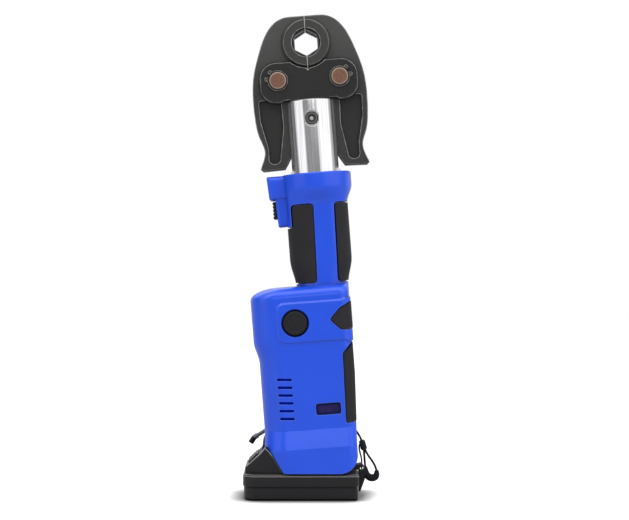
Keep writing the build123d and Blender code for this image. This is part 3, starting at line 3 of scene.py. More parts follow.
import bpy
import numpy as np
from bpy.props import FloatProperty, FloatVectorProperty, PointerProperty
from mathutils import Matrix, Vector


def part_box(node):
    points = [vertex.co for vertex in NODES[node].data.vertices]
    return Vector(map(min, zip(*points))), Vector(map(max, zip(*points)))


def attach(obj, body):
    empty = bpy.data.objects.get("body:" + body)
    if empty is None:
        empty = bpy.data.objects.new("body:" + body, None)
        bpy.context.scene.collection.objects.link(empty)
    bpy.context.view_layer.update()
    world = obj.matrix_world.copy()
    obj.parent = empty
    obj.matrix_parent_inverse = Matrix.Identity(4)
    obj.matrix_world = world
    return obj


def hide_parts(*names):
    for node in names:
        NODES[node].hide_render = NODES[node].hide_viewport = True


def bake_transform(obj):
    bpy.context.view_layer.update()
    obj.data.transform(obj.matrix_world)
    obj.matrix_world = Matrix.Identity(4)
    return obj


bl_info = {
    "name": "Pipe press tool looks",
    "version": (1, 0, 0),
    "blender": (4, 5, 0),
    "location": "View3D > Sidebar > Press tool",
    "description": "Dresses the pipe press tool: finishes, hanging strap, springs and studio",
    "category": "Object",
}

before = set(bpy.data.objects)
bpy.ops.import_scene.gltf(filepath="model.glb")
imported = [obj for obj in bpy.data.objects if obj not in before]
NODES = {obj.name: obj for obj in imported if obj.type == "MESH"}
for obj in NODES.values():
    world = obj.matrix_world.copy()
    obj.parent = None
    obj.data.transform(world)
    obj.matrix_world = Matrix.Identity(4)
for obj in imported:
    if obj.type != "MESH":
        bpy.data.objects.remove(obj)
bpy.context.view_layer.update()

# The tool's leaning frame, in metres as every length here: where its axis meets the floor, and its lean
AXIS_FOOT = (0.036, 0.0, 0.0)
LEAN = radians(4.3)

# The strap's route, as the source gives it
STRAP_Y = 0.020
STRAP_ROUTE = [(0.0464, STRAP_Y, 0.0632), (0.0544, STRAP_Y, 0.0558), (0.0596, STRAP_Y, 0.0388),
               (0.0704, STRAP_Y, 0.0244), (0.0710, STRAP_Y, 0.0136), (0.0614, STRAP_Y + 0.0020, 0.0136),
               (0.0596, STRAP_Y + 0.0038, 0.0270), (0.0586, STRAP_Y + 0.0038, 0.0440)]

# The strap's loose end, from the slider into the lug's hole
TAIL_ROUTE = [(0.0562, 0.0180, 0.0470), (0.0540, 0.0170, 0.0455), (0.0546, 0.0160, 0.0390),
              (0.0566, 0.0140, 0.0320), (0.0562, 0.0110, 0.0257), (0.0561, 0.0060, 0.0254),
              (0.0561, -0.0010, 0.0254)]

# The sleeve on the strap's loop: heights of its ends on the outer and the inner run, its lip over the cord
# and the power by which it swells
SLEEVE_ENDS = (0.0215, 0.0250)
SLEEVE_LIP = 0.0002
SLEEVE_POWER = 0.6

# The button's spring, in the leaning frame: its middle, the depths of its ends, its radius, turns and steps
BUTTON_PLACE = (-0.0290, 0.1633)
BUTTON_COIL_ENDS = (-0.02265, -0.02665)
BUTTON_COIL_RADIUS = 0.0082
BUTTON_COIL_TURNS = 2.2
BUTTON_COIL_STEPS = 120

# The return spring: heights of the piston and of the ring above it, its radius, turns and steps
PISTON_TOP = 0.264
SPRING_SEAT = 0.275
RETURN_COIL_RADIUS = 0.01315
RETURN_COIL_TURNS = 3.2
RETURN_COIL_STEPS = 160

# Half of the jaws' hairpin: height of its post, its radius, half turns, depth and steps, and, as distances
# across and above the post, the ends of its leg and the leg's steps
SPRING_POST = 0.379
JAW_COIL_RADIUS = 0.0044
JAW_COIL_HALF_TURNS = 3
JAW_COIL_DEPTH = 0.0034
JAW_COIL_STEPS = 70
JAW_LEG = ((0.0003, -0.00443), (0.0114, -0.0060))
JAW_LEG_STEPS = 24

# The strips behind the vents, in the leaning frame: their span across, their heights below and above the
# motor's rib, the depth of their outer face, the round of its front end, the place where that round starts,
# their wall and the steps across them
VENT_SPAN = (-0.0498, -0.0346)
VENT_STRIPS = {"lower": (0.0750, 0.1001), "upper": (0.1029, 0.1152)}
VENT_DEPTH = 0.0293
VENT_ROUND = 0.0188
VENT_ROUND_START = -0.0426
VENT_WALL = 0.0008
VENT_STEPS = 24

# Places that finishes are centred on, in the leaning frame: the window's middle and the top of the jaws; and
# the unit in which they count distances
WINDOW_PLACE = (-0.0046, 0.0838)
JAW_CROWN = 0.436
CENTIMETRE = 0.01

# Shading of the CAD nodes: vertices within the weld's reach are joined, and edges over an angle, in degrees,
# stay sharp; the case has a lower angle below its foot's height
WELD_REACH = 0.00001
SHARP_ANGLE = 32
FOOT_SHARP_ANGLE = 12
FOOT_HEIGHT = 0.075

# The studio: half of the floor's width, its glow and the reach of the painted shadow where the tool stands,
# each light's place, width and height, and the point that they are turned to
FLOOR_HALF = 4.0
FLOOR_GLOW = 0.62
FLOOR_SHADOW = 0.020
KEY_LIGHT = ((-0.2, -0.5, 1.4), 1.2, 0.8)
FRONT_LIGHT = ((0.0, -1.2, 0.59), 0.7, 0.10)
LIGHT_AIM = (0, 0, 0.2)

# Studio surround seen by the tool: turn about Z from the camera's side, in degrees, and brightness there
SURROUND = [(-180, 0.9), (-128, 0.85), (-110, 0.3), (-84, 0.1), (-74, 1.15), (-42, 1.2), (-34, 0.27),
            (20, 0.27), (28, 1.3), (82, 1.3), (90, 0.5), (104, 0.4), (116, 0.8), (126, 0.9), (150, 0.8),
            (180, 0.9)]

# Brightness of the surround by height: the sine of the angle above the horizon, and a factor there
HEIGHTS = [(-1.0, 0.5), (-0.3, 0.5), (-0.2, 1.0), (0.22, 1.0), (0.32, 0.6), (0.5, 1.7), (0.68, 2.2),
           (0.8, 1.5), (1.0, 1.2)]

# The camera's sensor, in millimetres, and the picture's width, in pixels
SENSOR_WIDTH = 36.0
IMAGE_WIDTH = 629

# Finishes by node
BLUE_NODES = ("left_case_half", "right_case_half")
RUBBER_NODES = ("left_front_pad", "right_front_pad", "left_rear_pad", "right_rear_pad", "left_back_pads",
                "right_back_pads")
JAW_NODES = ("left_jaw", "right_jaw")
PLATE_NODES = ("front_link_plate", "rear_link_plate")
PIN_NODES = ("left_jaw_pin", "right_jaw_pin")
STEEL_NODES = ("roller_yoke", "roller_pins", "left_roller", "right_roller", "piston", "spring_seat",
               "pump_plunger", "release_valve", "carrier", "planet_gear_1", "planet_gear_2", "planet_gear_3",
               "motor_rotor")
SPRING_NODES = ("head_ring", "case_screws", "cell_links")
BLACK_NODES = ("trigger", "trigger_switch", "release_button", "battery_dock", "motor_end_bell")
BATTERY_NODES = ("battery_tray", "battery_cover", "battery_button")
BRONZE_NODES = ("head_bushing", "contact_blades")
DRIVE_NODES = ("motor_can", "gearbox_case")
BOARD_NODES = ("indicator_board", "control_board", "battery_board")
SEAL_NODES = ("oil_bladder", "piston_seal")


# Sizes and colours that a user can change

def metres(label, default, about):
    """A length."""
    return FloatProperty(name=label, description=about, default=default, min=0.0, unit="LENGTH", precision=4)


def colour(label, default, about):
    """A linear colour."""
    return FloatVectorProperty(name=label, description=about, default=default, size=3, min=0, max=1,
                               subtype="COLOR")


def power(label, default, about):
    """The power of a light, in watts."""
    return FloatProperty(name=label, description=about, default=default, min=0, unit="POWER")


class PressFinishes(bpy.types.PropertyGroup):
    """Colours and grain of the tool's finishes."""
    blue: colour("Case blue", (0.0085, 0.078, 0.74), "Moulded case plastic")
    # Painted highlight: a paler blue painted on the case's rounded edges
    blue_highlight: colour("Case edge", (0.09, 0.17, 0.72), "Case plastic where its edges are rounded off")
    # Painted shade: navy painted deep in the case's grooves and slots, and round the lens
    blue_painted_shade: colour("Case hollow", (0.004, 0.010, 0.12), "Case plastic deep in its grooves and slots")
    rubber: colour("Grip rubber", (0.022, 0.021, 0.024), "Grip pads")
    black: colour("Black plastic", (0.014, 0.014, 0.016), "Trigger, button, dock and battery")
    # Painted highlight: a pale grey painted on the rounded edges of the black plastic and the battery
    black_highlight: colour("Black edge", (0.36, 0.34, 0.33), "Black plastic where its edges are rounded off")
    jaw: colour("Jaw black", (0.040, 0.040, 0.039), "Phosphated forgings")
    bare: colour("Worn edge", (0.55, 0.54, 0.52), "Steel that shows at worn edges")
    copper: colour("Pin copper", (0.17, 0.080, 0.050), "Plated jaw pins")
    # Painted highlight: the pale band painted round the jaw pins' edges
    copper_highlight: colour("Pin rim", (0.36, 0.28, 0.23), "Jaw pins where their rims are worn")
    chrome: colour("Chrome", (0.88, 0.88, 0.90), "Polished head")
    grain: metres("Plastic grain", 0.0005, "Size of the moulded grain")


class PressStrap(bpy.types.PropertyGroup):
    """Sizes of the hanging strap."""
    diameter: metres("Cord diameter", 0.0021, "Thickness of the strap's cord")
    sleeve: metres("Sleeve radius", 0.0035, "Radius of the sleeve in its middle")
    tail: metres("Loose end radius", 0.0008, "Radius of the strap's loose end")


class PressSprings(bpy.types.PropertyGroup):
    """Wire of the springs inside the tool."""
    button: metres("Button spring wire", 0.0004, "Wire radius of the spring under the round button")
    ram: metres("Return spring wire", 0.0010, "Wire radius of the spring that brings the ram back")
    jaws: metres("Jaw spring wire", 0.0009, "Wire radius of the hairpin between the jaws")


class PressStage(bpy.types.PropertyGroup):
    """Camera and studio lights."""
    distance: metres("Camera distance", 1.5, "From the lens to the tool's middle plane")
    aim_x: FloatProperty(name="Aim X", description="Point in view", default=0.0124, unit="LENGTH")
    aim_z: FloatProperty(name="Aim Z", description="Point in view", default=0.218, unit="LENGTH")
    azimuth: FloatProperty(name="Azimuth", description="Turn of the view about Z", default=0.0,
                           subtype="ANGLE")
    scale: metres("Width of one pixel", 0.000926, "At the tool's middle plane")
    key: power("Key light", 7.0, "Power of the soft light above")
    front: power("Front light", 1.0, "Power of the soft light in front")


# Mesh helpers

def tool_point(across, depth, along):
    """A point in the tool's leaning frame, as a point of the scene."""
    x = AXIS_FOOT[0] + across * cos(LEAN) - along * sin(LEAN)
    z = across * sin(LEAN) + along * cos(LEAN)
    return (x, depth, z)


def ring_mesh(name, rings):
    """A closed skin over rings of points: rings[i, j] is point j of ring i, and both ends are filled."""
    count, around = rings.shape[:2]
    index = np.arange(count * around).reshape(count, around)
    ahead = np.roll(index, -1, axis=1)
    quads = np.stack([index[:-1], ahead[:-1], ahead[1:], index[1:]], axis=-1).reshape(-1, 4)
    faces = [*quads.tolist(), index[0][::-1].tolist(), index[-1].tolist()]
    mesh = bpy.data.meshes.new(name)
    mesh.from_pydata(rings.reshape(-1, 3).tolist(), [], faces)
    mesh.validate()
    mesh.shade_smooth()
    return mesh


def tube_rings(points, radius, around=20, square=(0.0, 1.0, 0.0)):
    """Circles round a path: point + radius (cos a side + sin a up), with side square to a direction."""
    along = np.gradient(points, axis=0)
    along /= np.linalg.norm(along, axis=1, keepdims=True)
    side = np.cross(along, np.array(square))
    side /= np.linalg.norm(side, axis=1, keepdims=True)
    up = np.cross(along, side)
    turn = np.linspace(0, 2 * pi, around, endpoint=False)
    spokes = side[:, None] * np.cos(turn)[None, :, None] + up[:, None] * np.sin(turn)[None, :, None]
    return points[:, None] + spokes * np.broadcast_to(radius, len(points))[:, None, None]


def smooth_line(name, route):
    """A smooth spline with the route's points as its control points."""
    curve = bpy.data.curves.new(name, "CURVE")
    curve.dimensions = "3D"
    spline = curve.splines.new("NURBS")
    spline.points.add(len(route) - 1)
    spline.points.foreach_set("co", np.append(route, np.ones((len(route), 1)), axis=1).ravel())
    spline.order_u = 3
    spline.use_endpoint_u = True
    spline.resolution_u = 16
    return curve


def line_points(curve):
    """Points along a curve that has no thickness yet."""
    holder = bpy.data.objects.new("line_holder", curve)
    line = bpy.data.meshes.new_from_object(holder)
    points = np.empty(3 * len(line.vertices))
    line.vertices.foreach_get("co", points)
    bpy.data.objects.remove(holder)
    bpy.data.meshes.remove(line)
    return points.reshape(-1, 3)


def add_piece(name, data, material, body="case", replaces=()):
    """Puts a new piece in the scene with its finish, on its body unless that is None."""
    piece = bpy.data.objects.new(name, data)
    bpy.context.scene.collection.objects.link(piece)
    data.materials.append(material)
    if body:
        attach(piece, body)
    if replaces:
        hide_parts(*replaces)
    return piece


# Node helpers

class Wiring:
    """The nodes of one tree, put together step by step; most steps return the socket that they end in."""

    def __init__(self, tree):
        self.tree = tree

    def feed(self, entry, value):
        """Links an input to a socket, or sets it to a value."""
        if isinstance(value, bpy.types.NodeSocket):
            self.tree.links.new(value, entry)
        else:
            entry.default_value = value

    def node(self, kind, **inputs):
        """A new node with its named inputs fed."""
        node = self.tree.nodes.new(kind)
        for name, value in inputs.items():
            self.feed(node.inputs[name.replace("_", " ")], value)
        return node

    def operation_node(self, kind, operation, values):
        """A new maths node with its inputs fed in order."""
        node = self.tree.nodes.new(kind)
        node.operation = operation
        for entry, value in zip(node.inputs, values):
            self.feed(entry, value)
        return node

    def maths(self, operation, *values):
        """The result of an operation on numbers."""
        return self.operation_node("ShaderNodeMath", operation, values).outputs[0]

    def measure(self, operation, *vectors):
        """The number that an operation on vectors gives."""
        return self.operation_node("ShaderNodeVectorMath", operation, vectors).outputs["Value"]

    def ramp(self, share, stops):
        """Colours at (position, colour) stops, or greys where a stop's colour is a number."""
        node = self.node("ShaderNodeValToRGB", Fac=share)
        elements = node.color_ramp.elements
        while len(elements) < len(stops):
            elements.new(0.5)
        for element, (position, value) in zip(elements, stops):
            element.position = position
            element.color = (value, value, value, 1) if isinstance(value, float) else (*value, 1)
        return node.outputs["Color"]

    def blend(self, share, low, high):
        """A colour that goes from low to high with share; low is a socket and high a fixed colour."""
        mix = self.tree.nodes.new("ShaderNodeMix")
        mix.data_type = "RGBA"
        for entry, value in ((0, share), (6, low), (7, (*high, 1))):
            self.feed(mix.inputs[entry], value)
        return mix.outputs[2]


def smooth_nodes(name, foot_angle):
    """Geometry nodes that smooth all but edges over SHARP_ANGLE, or over foot_angle in the foot."""
    tree = bpy.data.node_groups.new(name, "GeometryNodeTree")
    for side in ("INPUT", "OUTPUT"):
        tree.interface.new_socket("Geometry", in_out=side, socket_type="NodeSocketGeometry")
    wiring = Wiring(tree)
    place = wiring.node("GeometryNodeInputPosition").outputs[0]
    height = wiring.node("ShaderNodeSeparateXYZ", Vector=place).outputs["Z"]
    above = wiring.maths("GREATER_THAN", height, FOOT_HEIGHT)
    limit = wiring.maths("MULTIPLY_ADD", above, radians(SHARP_ANGLE - foot_angle), radians(foot_angle))
    angle = wiring.node("GeometryNodeInputMeshEdgeAngle").outputs["Unsigned Angle"]
    sharp = wiring.node("FunctionNodeCompare", A=angle, B=limit).outputs[0]
    mesh = wiring.node("NodeGroupInput").outputs[0]
    faces = wiring.node("GeometryNodeSetShadeSmooth", Geometry=mesh).outputs[0]
    edges = wiring.node("GeometryNodeSetShadeSmooth", Geometry=faces, Selection=sharp, Shade_Smooth=False)
    edges.domain = "EDGE"
    wiring.node("NodeGroupOutput", Geometry=edges.outputs[0])
    return tree


SMOOTH = smooth_nodes("smooth_by_angle", SHARP_ANGLE)
CRISP = smooth_nodes("smooth_with_crisp_foot", FOOT_SHARP_ANGLE)


def dress(names, finish, shading=SMOOTH):
    """Gives CAD nodes a finish: their loose triangles are joined and shaded smooth."""
    for name in names:
        node = NODES[name]
        node.data.materials.clear()
        node.data.materials.append(finish.material)
        weld = node.modifiers.new("join", "WELD")
        weld.merge_threshold = WELD_REACH
        smooth = node.modifiers.new("smooth", "NODES")
        smooth.node_group = shading
        flat = node.modifiers.new("keep flats flat", "WEIGHTED_NORMAL")
        flat.keep_sharp = True


def shade(base, factor):
    """A colour made darker or paler by a factor."""
    return tuple(min(1.0, channel * factor) for channel in base)


class Finish(Wiring):
    """A material. Its sizes are in metres."""

    def __init__(self, name, roughness, metallic=0.0, specular=0.5):
        self.material = bpy.data.materials.new(name)
        self.material.use_nodes = True
        super().__init__(self.material.node_tree)
        self.shader = self.tree.nodes["Principled BSDF"]
        self.shader.inputs["Roughness"].default_value = roughness
        self.shader.inputs["Metallic"].default_value = metallic
        self.shader.inputs["Specular IOR Level"].default_value = specular

    def place(self):
        """The point that is shaded, in the object's own frame."""
        return self.node("ShaderNodeTexCoord").outputs["Object"]

    def leaning(self, **mapping):
        """The point that is shaded, in the tool's leaning frame, moved and scaled by a mapping."""
        turned = self.node("ShaderNodeMapping", Vector=self.place(), Rotation=(0, -LEAN, 0), **mapping)
        turned.vector_type = "TEXTURE"
        return turned.outputs[0]

    def noise(self, size, detail=3.0, stretch=1.0):
        """Noise whose features have the given size, longer by stretch along the tool's axis."""
        place = self.leaning(Scale=(1, 1, stretch))
        return self.node("ShaderNodeTexNoise", Vector=place, Scale=1 / size, Detail=detail).outputs[0]

    def from_point(self, point, axis):
        """Distance from a point along one axis of the leaning frame, in centimetres."""
        place = self.leaning(Location=point, Scale=(CENTIMETRE, CENTIMETRE, CENTIMETRE))
        split = self.node("ShaderNodeSeparateXYZ", Vector=place)
        return self.maths("ABSOLUTE", split.outputs[axis])

    def seen_from(self, point, unit=CENTIMETRE):
        """Distance from a point as it shows along Y, in the unit given or else in centimetres."""
        scale = (1 / unit, 0, 1 / unit)
        offset = [-along * factor for along, factor in zip(point, scale)]
        moved = self.node("ShaderNodeMapping", Vector=self.place(), Location=offset, Scale=scale)
        return self.measure("LENGTH", moved.outputs[0])

    def open_sky(self, reach):
        """One on open faces and less in hollows, from what stands within reach."""
        return self.node("ShaderNodeAmbientOcclusion", Distance=reach).outputs["AO"]

    def hollow(self, reach, deep, clear, most=1.0):
        """From most, where the open sky is deep or less, to none where it is clear."""
        return self.ramp(self.open_sky(reach), [(deep, most), (clear, 0.0)])

    def edges(self, width, reach=0.002):
        """One on outer edges, where the bevelled normal leaves the true one and nothing stands near."""
        bevel = self.node("ShaderNodeBevel", Radius=width)
        bevel.samples = 8
        true = self.node("ShaderNodeNewGeometry")
        match = self.measure("DOT_PRODUCT", bevel.outputs["Normal"], true.outputs["Normal"])
        turned = self.ramp(match, [(0.90, 1.0), (0.985, 0.0)])
        outer = self.ramp(self.open_sky(reach), [(0.78, 0.0), (0.94, 1.0)])
        return self.maths("MULTIPLY", turned, outer)

    def mottle(self, base, size, low=0.9, high=1.1, stretch=1.0):
        """A colour that varies slightly, in patches of the given size."""
        stops = [(0.3, shade(base, low)), (0.7, shade(base, high))]
        return self.ramp(self.noise(size, 4.0, stretch), stops)

    def colour(self, socket):
        """Gives the surface its colour."""
        self.feed(self.shader.inputs["Base Color"], socket)

    def bump(self, height, depth, rounding, strength=0.35):
        """Gives the surface relief over softly rounded edges."""
        bevel = self.node("ShaderNodeBevel", Radius=rounding)
        bevel.samples = 6
        node = self.node("ShaderNodeBump", Height=height, Strength=strength, Distance=depth,
                         Normal=bevel.outputs["Normal"])
        self.feed(self.shader.inputs["Normal"], node.outputs["Normal"])

    def vary_roughness(self, size, low, high, stretch=1.0):
        """Gives the surface patches of the given size that are smoother or rougher."""
        rough = self.ramp(self.noise(size, 3.0, stretch), [(0.3, low), (0.7, high)])
        self.feed(self.shader.inputs["Roughness"], rough)


# Finishes

def moulded(name, base, roughness, grain, depth, edge=None, specular=0.2):
    """Moulded plastic or rubber: grain, slight colour variation, painted shade in its seams and crevices
    and, with edge, painted highlights on its edges.
    """
    rounding = 0.0004
    finish = Finish(name, roughness, specular=specular)
    tint = finish.mottle(base, size=0.025, low=0.93, high=1.08)
    # With edge, a painted highlight along the outer edges
    if edge:
        tint = finish.blend(finish.edges(rounding, reach=0.0012), tint, edge)
    # Painted shade in seams and crevices
    crevice_shade = finish.hollow(reach=0.0025, deep=0.45, clear=0.80)
    finish.colour(finish.blend(crevice_shade, tint, shade(base, 0.1)))
    finish.bump(finish.noise(grain, detail=2.0), depth, rounding)
    finish.vary_roughness(size=0.02, low=roughness - 0.04, high=roughness + 0.04)
    return finish


def blue_plastic(finishes):
    """Satin case plastic: painted highlights on its rounded edges, painted shade in its corners, grooves and
    slots.
    """
    finish = Finish("blue_case", roughness=0.27)
    tint = finish.mottle(finishes.blue, size=0.03, low=0.96, high=1.04)
    # Painted highlight on the outer edges
    tint = finish.blend(finish.edges(width=0.0010, reach=0.001), tint, finishes.blue_highlight)
    # Painted shade in broad corners, such as where the grip meets the body
    corner = finish.hollow(reach=0.03, deep=0.45, clear=0.95)
    tint = finish.blend(corner, tint, shade(finishes.blue, 0.5))
    # Painted shade in creases, grooves and slots
    crease_shade = finish.hollow(reach=0.0016, deep=0.55, clear=0.85, most=0.8)
    slot_shade = finish.hollow(reach=0.003, deep=0.35, clear=0.70)
    finish.colour(finish.blend(finish.maths("MAXIMUM", crease_shade, slot_shade), tint, finishes.blue_painted_shade))
    finish.bump(finish.noise(finishes.grain, detail=2.0), depth=0.00006, rounding=0.0009)
    return finish


def vent_blue(finishes):
    """The case's plastic in the shade behind the vents."""
    finish = Finish("vent_blue", roughness=0.9, specular=0.0)
    finish.colour(finish.mottle((0.0, 0.030, 0.90), size=0.004))
    finish.bump(finish.noise(finishes.grain, detail=2.0), depth=0.00006, rounding=0.0003)
    return finish


def window_lens(finishes):
    """Dark violet lens with the recess wall's shadow painted navy round its edges."""
    finish = Finish("dark_lens", roughness=0.12, specular=0.12)
    tint = finish.mottle((0.021, 0.013, 0.085), size=0.006, low=0.75, high=1.2)
    middle = tool_point(WINDOW_PLACE[0], 0, WINDOW_PLACE[1])
    ends = finish.ramp(finish.from_point(middle, "X"), [(0.86, 0.0), (0.93, 1.0)])
    sides = finish.ramp(finish.from_point(middle, "Z"), [(0.27, 0.0), (0.34, 1.0)])
    # Painted shadow of the recess wall round the lens's edges
    wall_shadow = finish.maths("MAXIMUM", ends, sides)
    finish.colour(finish.blend(wall_shadow, tint, shade(finishes.blue_painted_shade, 0.6)))
    return finish


def battery_plastic(finishes):
    """Satin black plastic with painted shade in its seams, and painted highlights on the edges above them.
    """
    finish = Finish("battery_plastic", roughness=0.34, specular=0.32)
    base = shade(finishes.black, 0.72)
    tint = finish.mottle(base, size=0.025, low=0.93, high=1.08)
    height = finish.node("ShaderNodeSeparateXYZ", Vector=finish.place()).outputs["Z"]
    decimetres = finish.maths("MULTIPLY", height, 10.0)
    # Painted highlight on the edges above the joint between tray and cover
    above = finish.ramp(decimetres, [(0.15, 0.0), (0.17, 1.0)])
    rim_highlight = finish.maths("MULTIPLY", finish.edges(width=0.0018, reach=0.0008), above)
    tint = finish.blend(rim_highlight, tint, finishes.black_highlight)
    # Painted shade in seams and crevices
    crevice_shade = finish.hollow(reach=0.0025, deep=0.66, clear=0.92)
    finish.colour(finish.blend(crevice_shade, tint, shade(base, 0.1)))
    finish.bump(finish.noise(finishes.grain, detail=2.0), depth=0.00003, rounding=0.0006)
    finish.vary_roughness(size=0.02, low=0.30, high=0.38)
    return finish


def jaw_light_and_shade(finish, tint, base):
    """Jaws get painted light on their faces towards their top, and painted shade deep in their pockets."""
    depth = finish.from_point(AXIS_FOOT, "Y")
    below = finish.from_point(tool_point(0, 0, JAW_CROWN), "Z")
    decimetres = finish.maths("MULTIPLY", below, 0.1)
    # Painted light on the faces near the top of the jaws
    crown_light = finish.ramp(decimetres, [(0.10, 0.75), (0.60, 0.0)])
    on_face = finish.ramp(depth, [(0.93, 1.0), (0.99, 0.2)])
    tint = finish.blend(finish.maths("MULTIPLY", crown_light, on_face), tint, shade(base, 1.9))
    # Painted shade deep in the pockets
    pocket_shade = finish.ramp(depth, [(0.68, 0.8), (0.82, 0.0)])
    return finish.blend(pocket_shade, tint, shade(base, 0.5))


def worn_steel(name, base, bare, wear=0.0011, jaw=False):
    """Black forged steel: speckled, with painted shade in its hollows and bright worn edges, duller at the
    jaws' split.
    """
    finish = Finish(name, roughness=0.5, metallic=0.25, specular=0.3)
    tint = finish.mottle(base, size=0.0011, low=0.7, high=1.35)
    if jaw:
        tint = jaw_light_and_shade(finish, tint, base)
    # Painted shade in hollows
    tint = finish.blend(finish.hollow(reach=0.004, deep=0.35, clear=0.85), tint, shade(base, 0.25))
    patchy = finish.ramp(finish.noise(size=0.005, detail=2.0), [(0.35, 0.4), (0.62, 1.0)])
    worn = finish.maths("MULTIPLY", finish.edges(wear), patchy)
    if jaw:
        split = finish.ramp(finish.from_point(AXIS_FOOT, "X"), [(0.12, 0.3), (0.2, 1.0)])
        worn = finish.maths("MULTIPLY", worn, split)
    finish.colour(finish.blend(worn, tint, bare))
    finish.bump(finish.noise(size=0.0006), depth=0.00012, rounding=0.0004)
    finish.vary_roughness(size=0.003, low=0.42, high=0.6)
    return finish


def turned_metal(name, base, roughness, size=0.0008, depth=0.00002, stretch=1.0, metallic=1.0, low=0.88):
    """Bright metal with machining marks, drawn out along the tool's axis by stretch and as dark as low."""
    finish = Finish(name, roughness, metallic)
    finish.colour(finish.mottle(base, 2 * size, low, 1.06, stretch))
    finish.bump(finish.noise(size, stretch=stretch), depth, rounding=0.0003)
    finish.vary_roughness(3 * size, 0.8 * roughness, 1.25 * roughness, stretch)
    return finish


def spring_steel():
    """Dark drawn wire."""
    return turned_metal("spring_steel", (0.10, 0.10, 0.11), roughness=0.35)


def middle_of(low, high):
    """The middle between two corners of a box."""
    return [(start + end) / 2 for start, end in zip(low, high)]


def copper_pin(finishes, name):
    """Copper-plated pin end, blotched, with a pale painted highlight round its edge."""
    low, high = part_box(name)
    radius = (high[0] - low[0]) / 2
    finish = Finish(name + "_copper", roughness=0.5, metallic=0.35)
    tint = finish.mottle(finishes.copper, size=0.0016, low=0.72, high=1.4)
    far = finish.seen_from(middle_of(low, high), unit=radius)
    # Painted highlight round the pin's edge
    rim_highlight = finish.ramp(far, [(0.83, 0.0), (0.89, 1.0), (0.95, 0.9), (1.0, 0.2)])
    finish.colour(finish.blend(rim_highlight, tint, finishes.copper_highlight))
    finish.bump(finish.noise(size=0.0007), depth=0.0001, rounding=0.0003)
    return finish


def socket_pin(finishes):
    """Black pin with a painted highlight in the socket in the middle of its head and a painted highlight
    ring round it.
    """
    low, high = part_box("retaining_pin")
    finish = Finish("pin_black", roughness=0.42, metallic=0.3, specular=0.4)
    base = shade(finishes.jaw, 0.45)
    # Painted highlights: a white glint in the socket and a grey ring round it
    rings = [(0.15, (1.0, 1.0, 1.0)), (0.21, shade(finishes.jaw, 1.2)), (0.26, base), (0.38, base),
             (0.44, (0.22, 0.22, 0.22)), (0.50, base)]
    finish.colour(finish.ramp(finish.seen_from(middle_of(low, high)), rings))
    finish.bump(finish.noise(size=0.0006), depth=0.0001, rounding=0.0004)
    return finish


def hook_wire(finishes):
    """Grey plated wire with a black dipped tip."""
    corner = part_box("side_hook")[0]
    finish = Finish("hook_wire", roughness=0.4, metallic=0.6)
    dipped = [(0.86, finishes.black), (0.90, (0.17, 0.17, 0.18))]
    finish.colour(finish.ramp(finish.seen_from(corner), dipped))
    finish.bump(finish.noise(size=0.0005), depth=0.00005, rounding=0.0003)
    return finish


def woven_cord(finishes):
    """Black cord with the slanted ridges of its weave."""
    finish = Finish("strap_weave", roughness=0.75, specular=0.2)
    wave = finish.node("ShaderNodeTexWave", Vector=finish.place(), Scale=450.0, Distortion=1.5, Detail=1.0)
    wave.bands_direction = "DIAGONAL"
    ridges = wave.outputs[1]
    yarn = [(0.1, shade(finishes.black, 0.5)), (0.9, shade(finishes.black, 1.6))]
    finish.colour(finish.ramp(ridges, yarn))
    finish.bump(ridges, depth=0.0003, rounding=0.0003, strength=0.6)
    return finish


# Strap

def sleeve_mesh(points, sizes):
    """A crescent round the loop: its radius goes from the cord's to full as (1 - s^2)^SLEEVE_POWER."""
    heights = points[:, 2]
    lowest = int(np.argmin(heights))
    outer, inner = SLEEVE_ENDS
    inside = np.where(np.arange(len(points)) < lowest, heights < outer, heights < inner)
    path = points[inside]
    share = np.linspace(-1, 1, len(path))
    thin = sizes.diameter / 2 + SLEEVE_LIP
    radii = thin + (sizes.sleeve - thin) * (1 - share ** 2) ** SLEEVE_POWER
    return ring_mesh("strap_sleeve_skin", tube_rings(path, radii))


class PRESS_OT_strap(bpy.types.Operator):
    """Makes the hanging strap: its cord, the sleeve on its loop and its loose end"""
    bl_idname = "press.strap"
    bl_label = "Strap"

    def execute(self, context):
        sizes = context.scene.press_strap
        finishes = context.scene.press_finishes
        weave = woven_cord(finishes).material
        curve = smooth_line("strap_line", STRAP_ROUTE)
        points = line_points(curve)
        curve.bevel_depth = sizes.diameter / 2
        curve.bevel_resolution = 5
        curve.use_fill_caps = True
        cord = add_piece("strap_line", curve, weave, replaces=["strap_cord"])
        skin = sleeve_mesh(points, sizes)
        sleeve = add_piece("strap_sleeve_skin", skin, weave, replaces=["strap_sleeve"])
        tail_points = line_points(smooth_line("strap_tail_line", TAIL_ROUTE))
        tail_mesh = ring_mesh("strap_tail", tube_rings(tail_points, sizes.tail))
        tail = add_piece("strap_tail", tail_mesh, weave)
        dress(["strap_slider"], moulded("slider_black", finishes.black, 0.5, grain=0.0005, depth=0.0001))
        return {"FINISHED"}


# Springs

def add_coil(name, path, wire, steel, replaced, around=12, square=(0.0, 1.0, 0.0)):
    """A spring's wire along a path, in place of a node."""
    mesh = ring_mesh(name, tube_rings(path, wire, around, square))
    return add_piece(name, mesh, steel, None, [replaced])


def add_button_spring(wire, steel):
    """A coil on Y: radius (cos a, sin a) round the button's middle, with Y even from pump to button."""
    turn = np.linspace(0, 2 * pi * BUTTON_COIL_TURNS, BUTTON_COIL_STEPS)
    across = BUTTON_PLACE[0] + BUTTON_COIL_RADIUS * np.cos(turn)
    along = BUTTON_PLACE[1] + BUTTON_COIL_RADIUS * np.sin(turn)
    depth = np.linspace(*BUTTON_COIL_ENDS, len(turn))
    path = np.stack(tool_point(across, depth, along), axis=1)
    coil = add_coil("button_coil", path, wire, steel, "button_spring", around=10)
    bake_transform(coil)


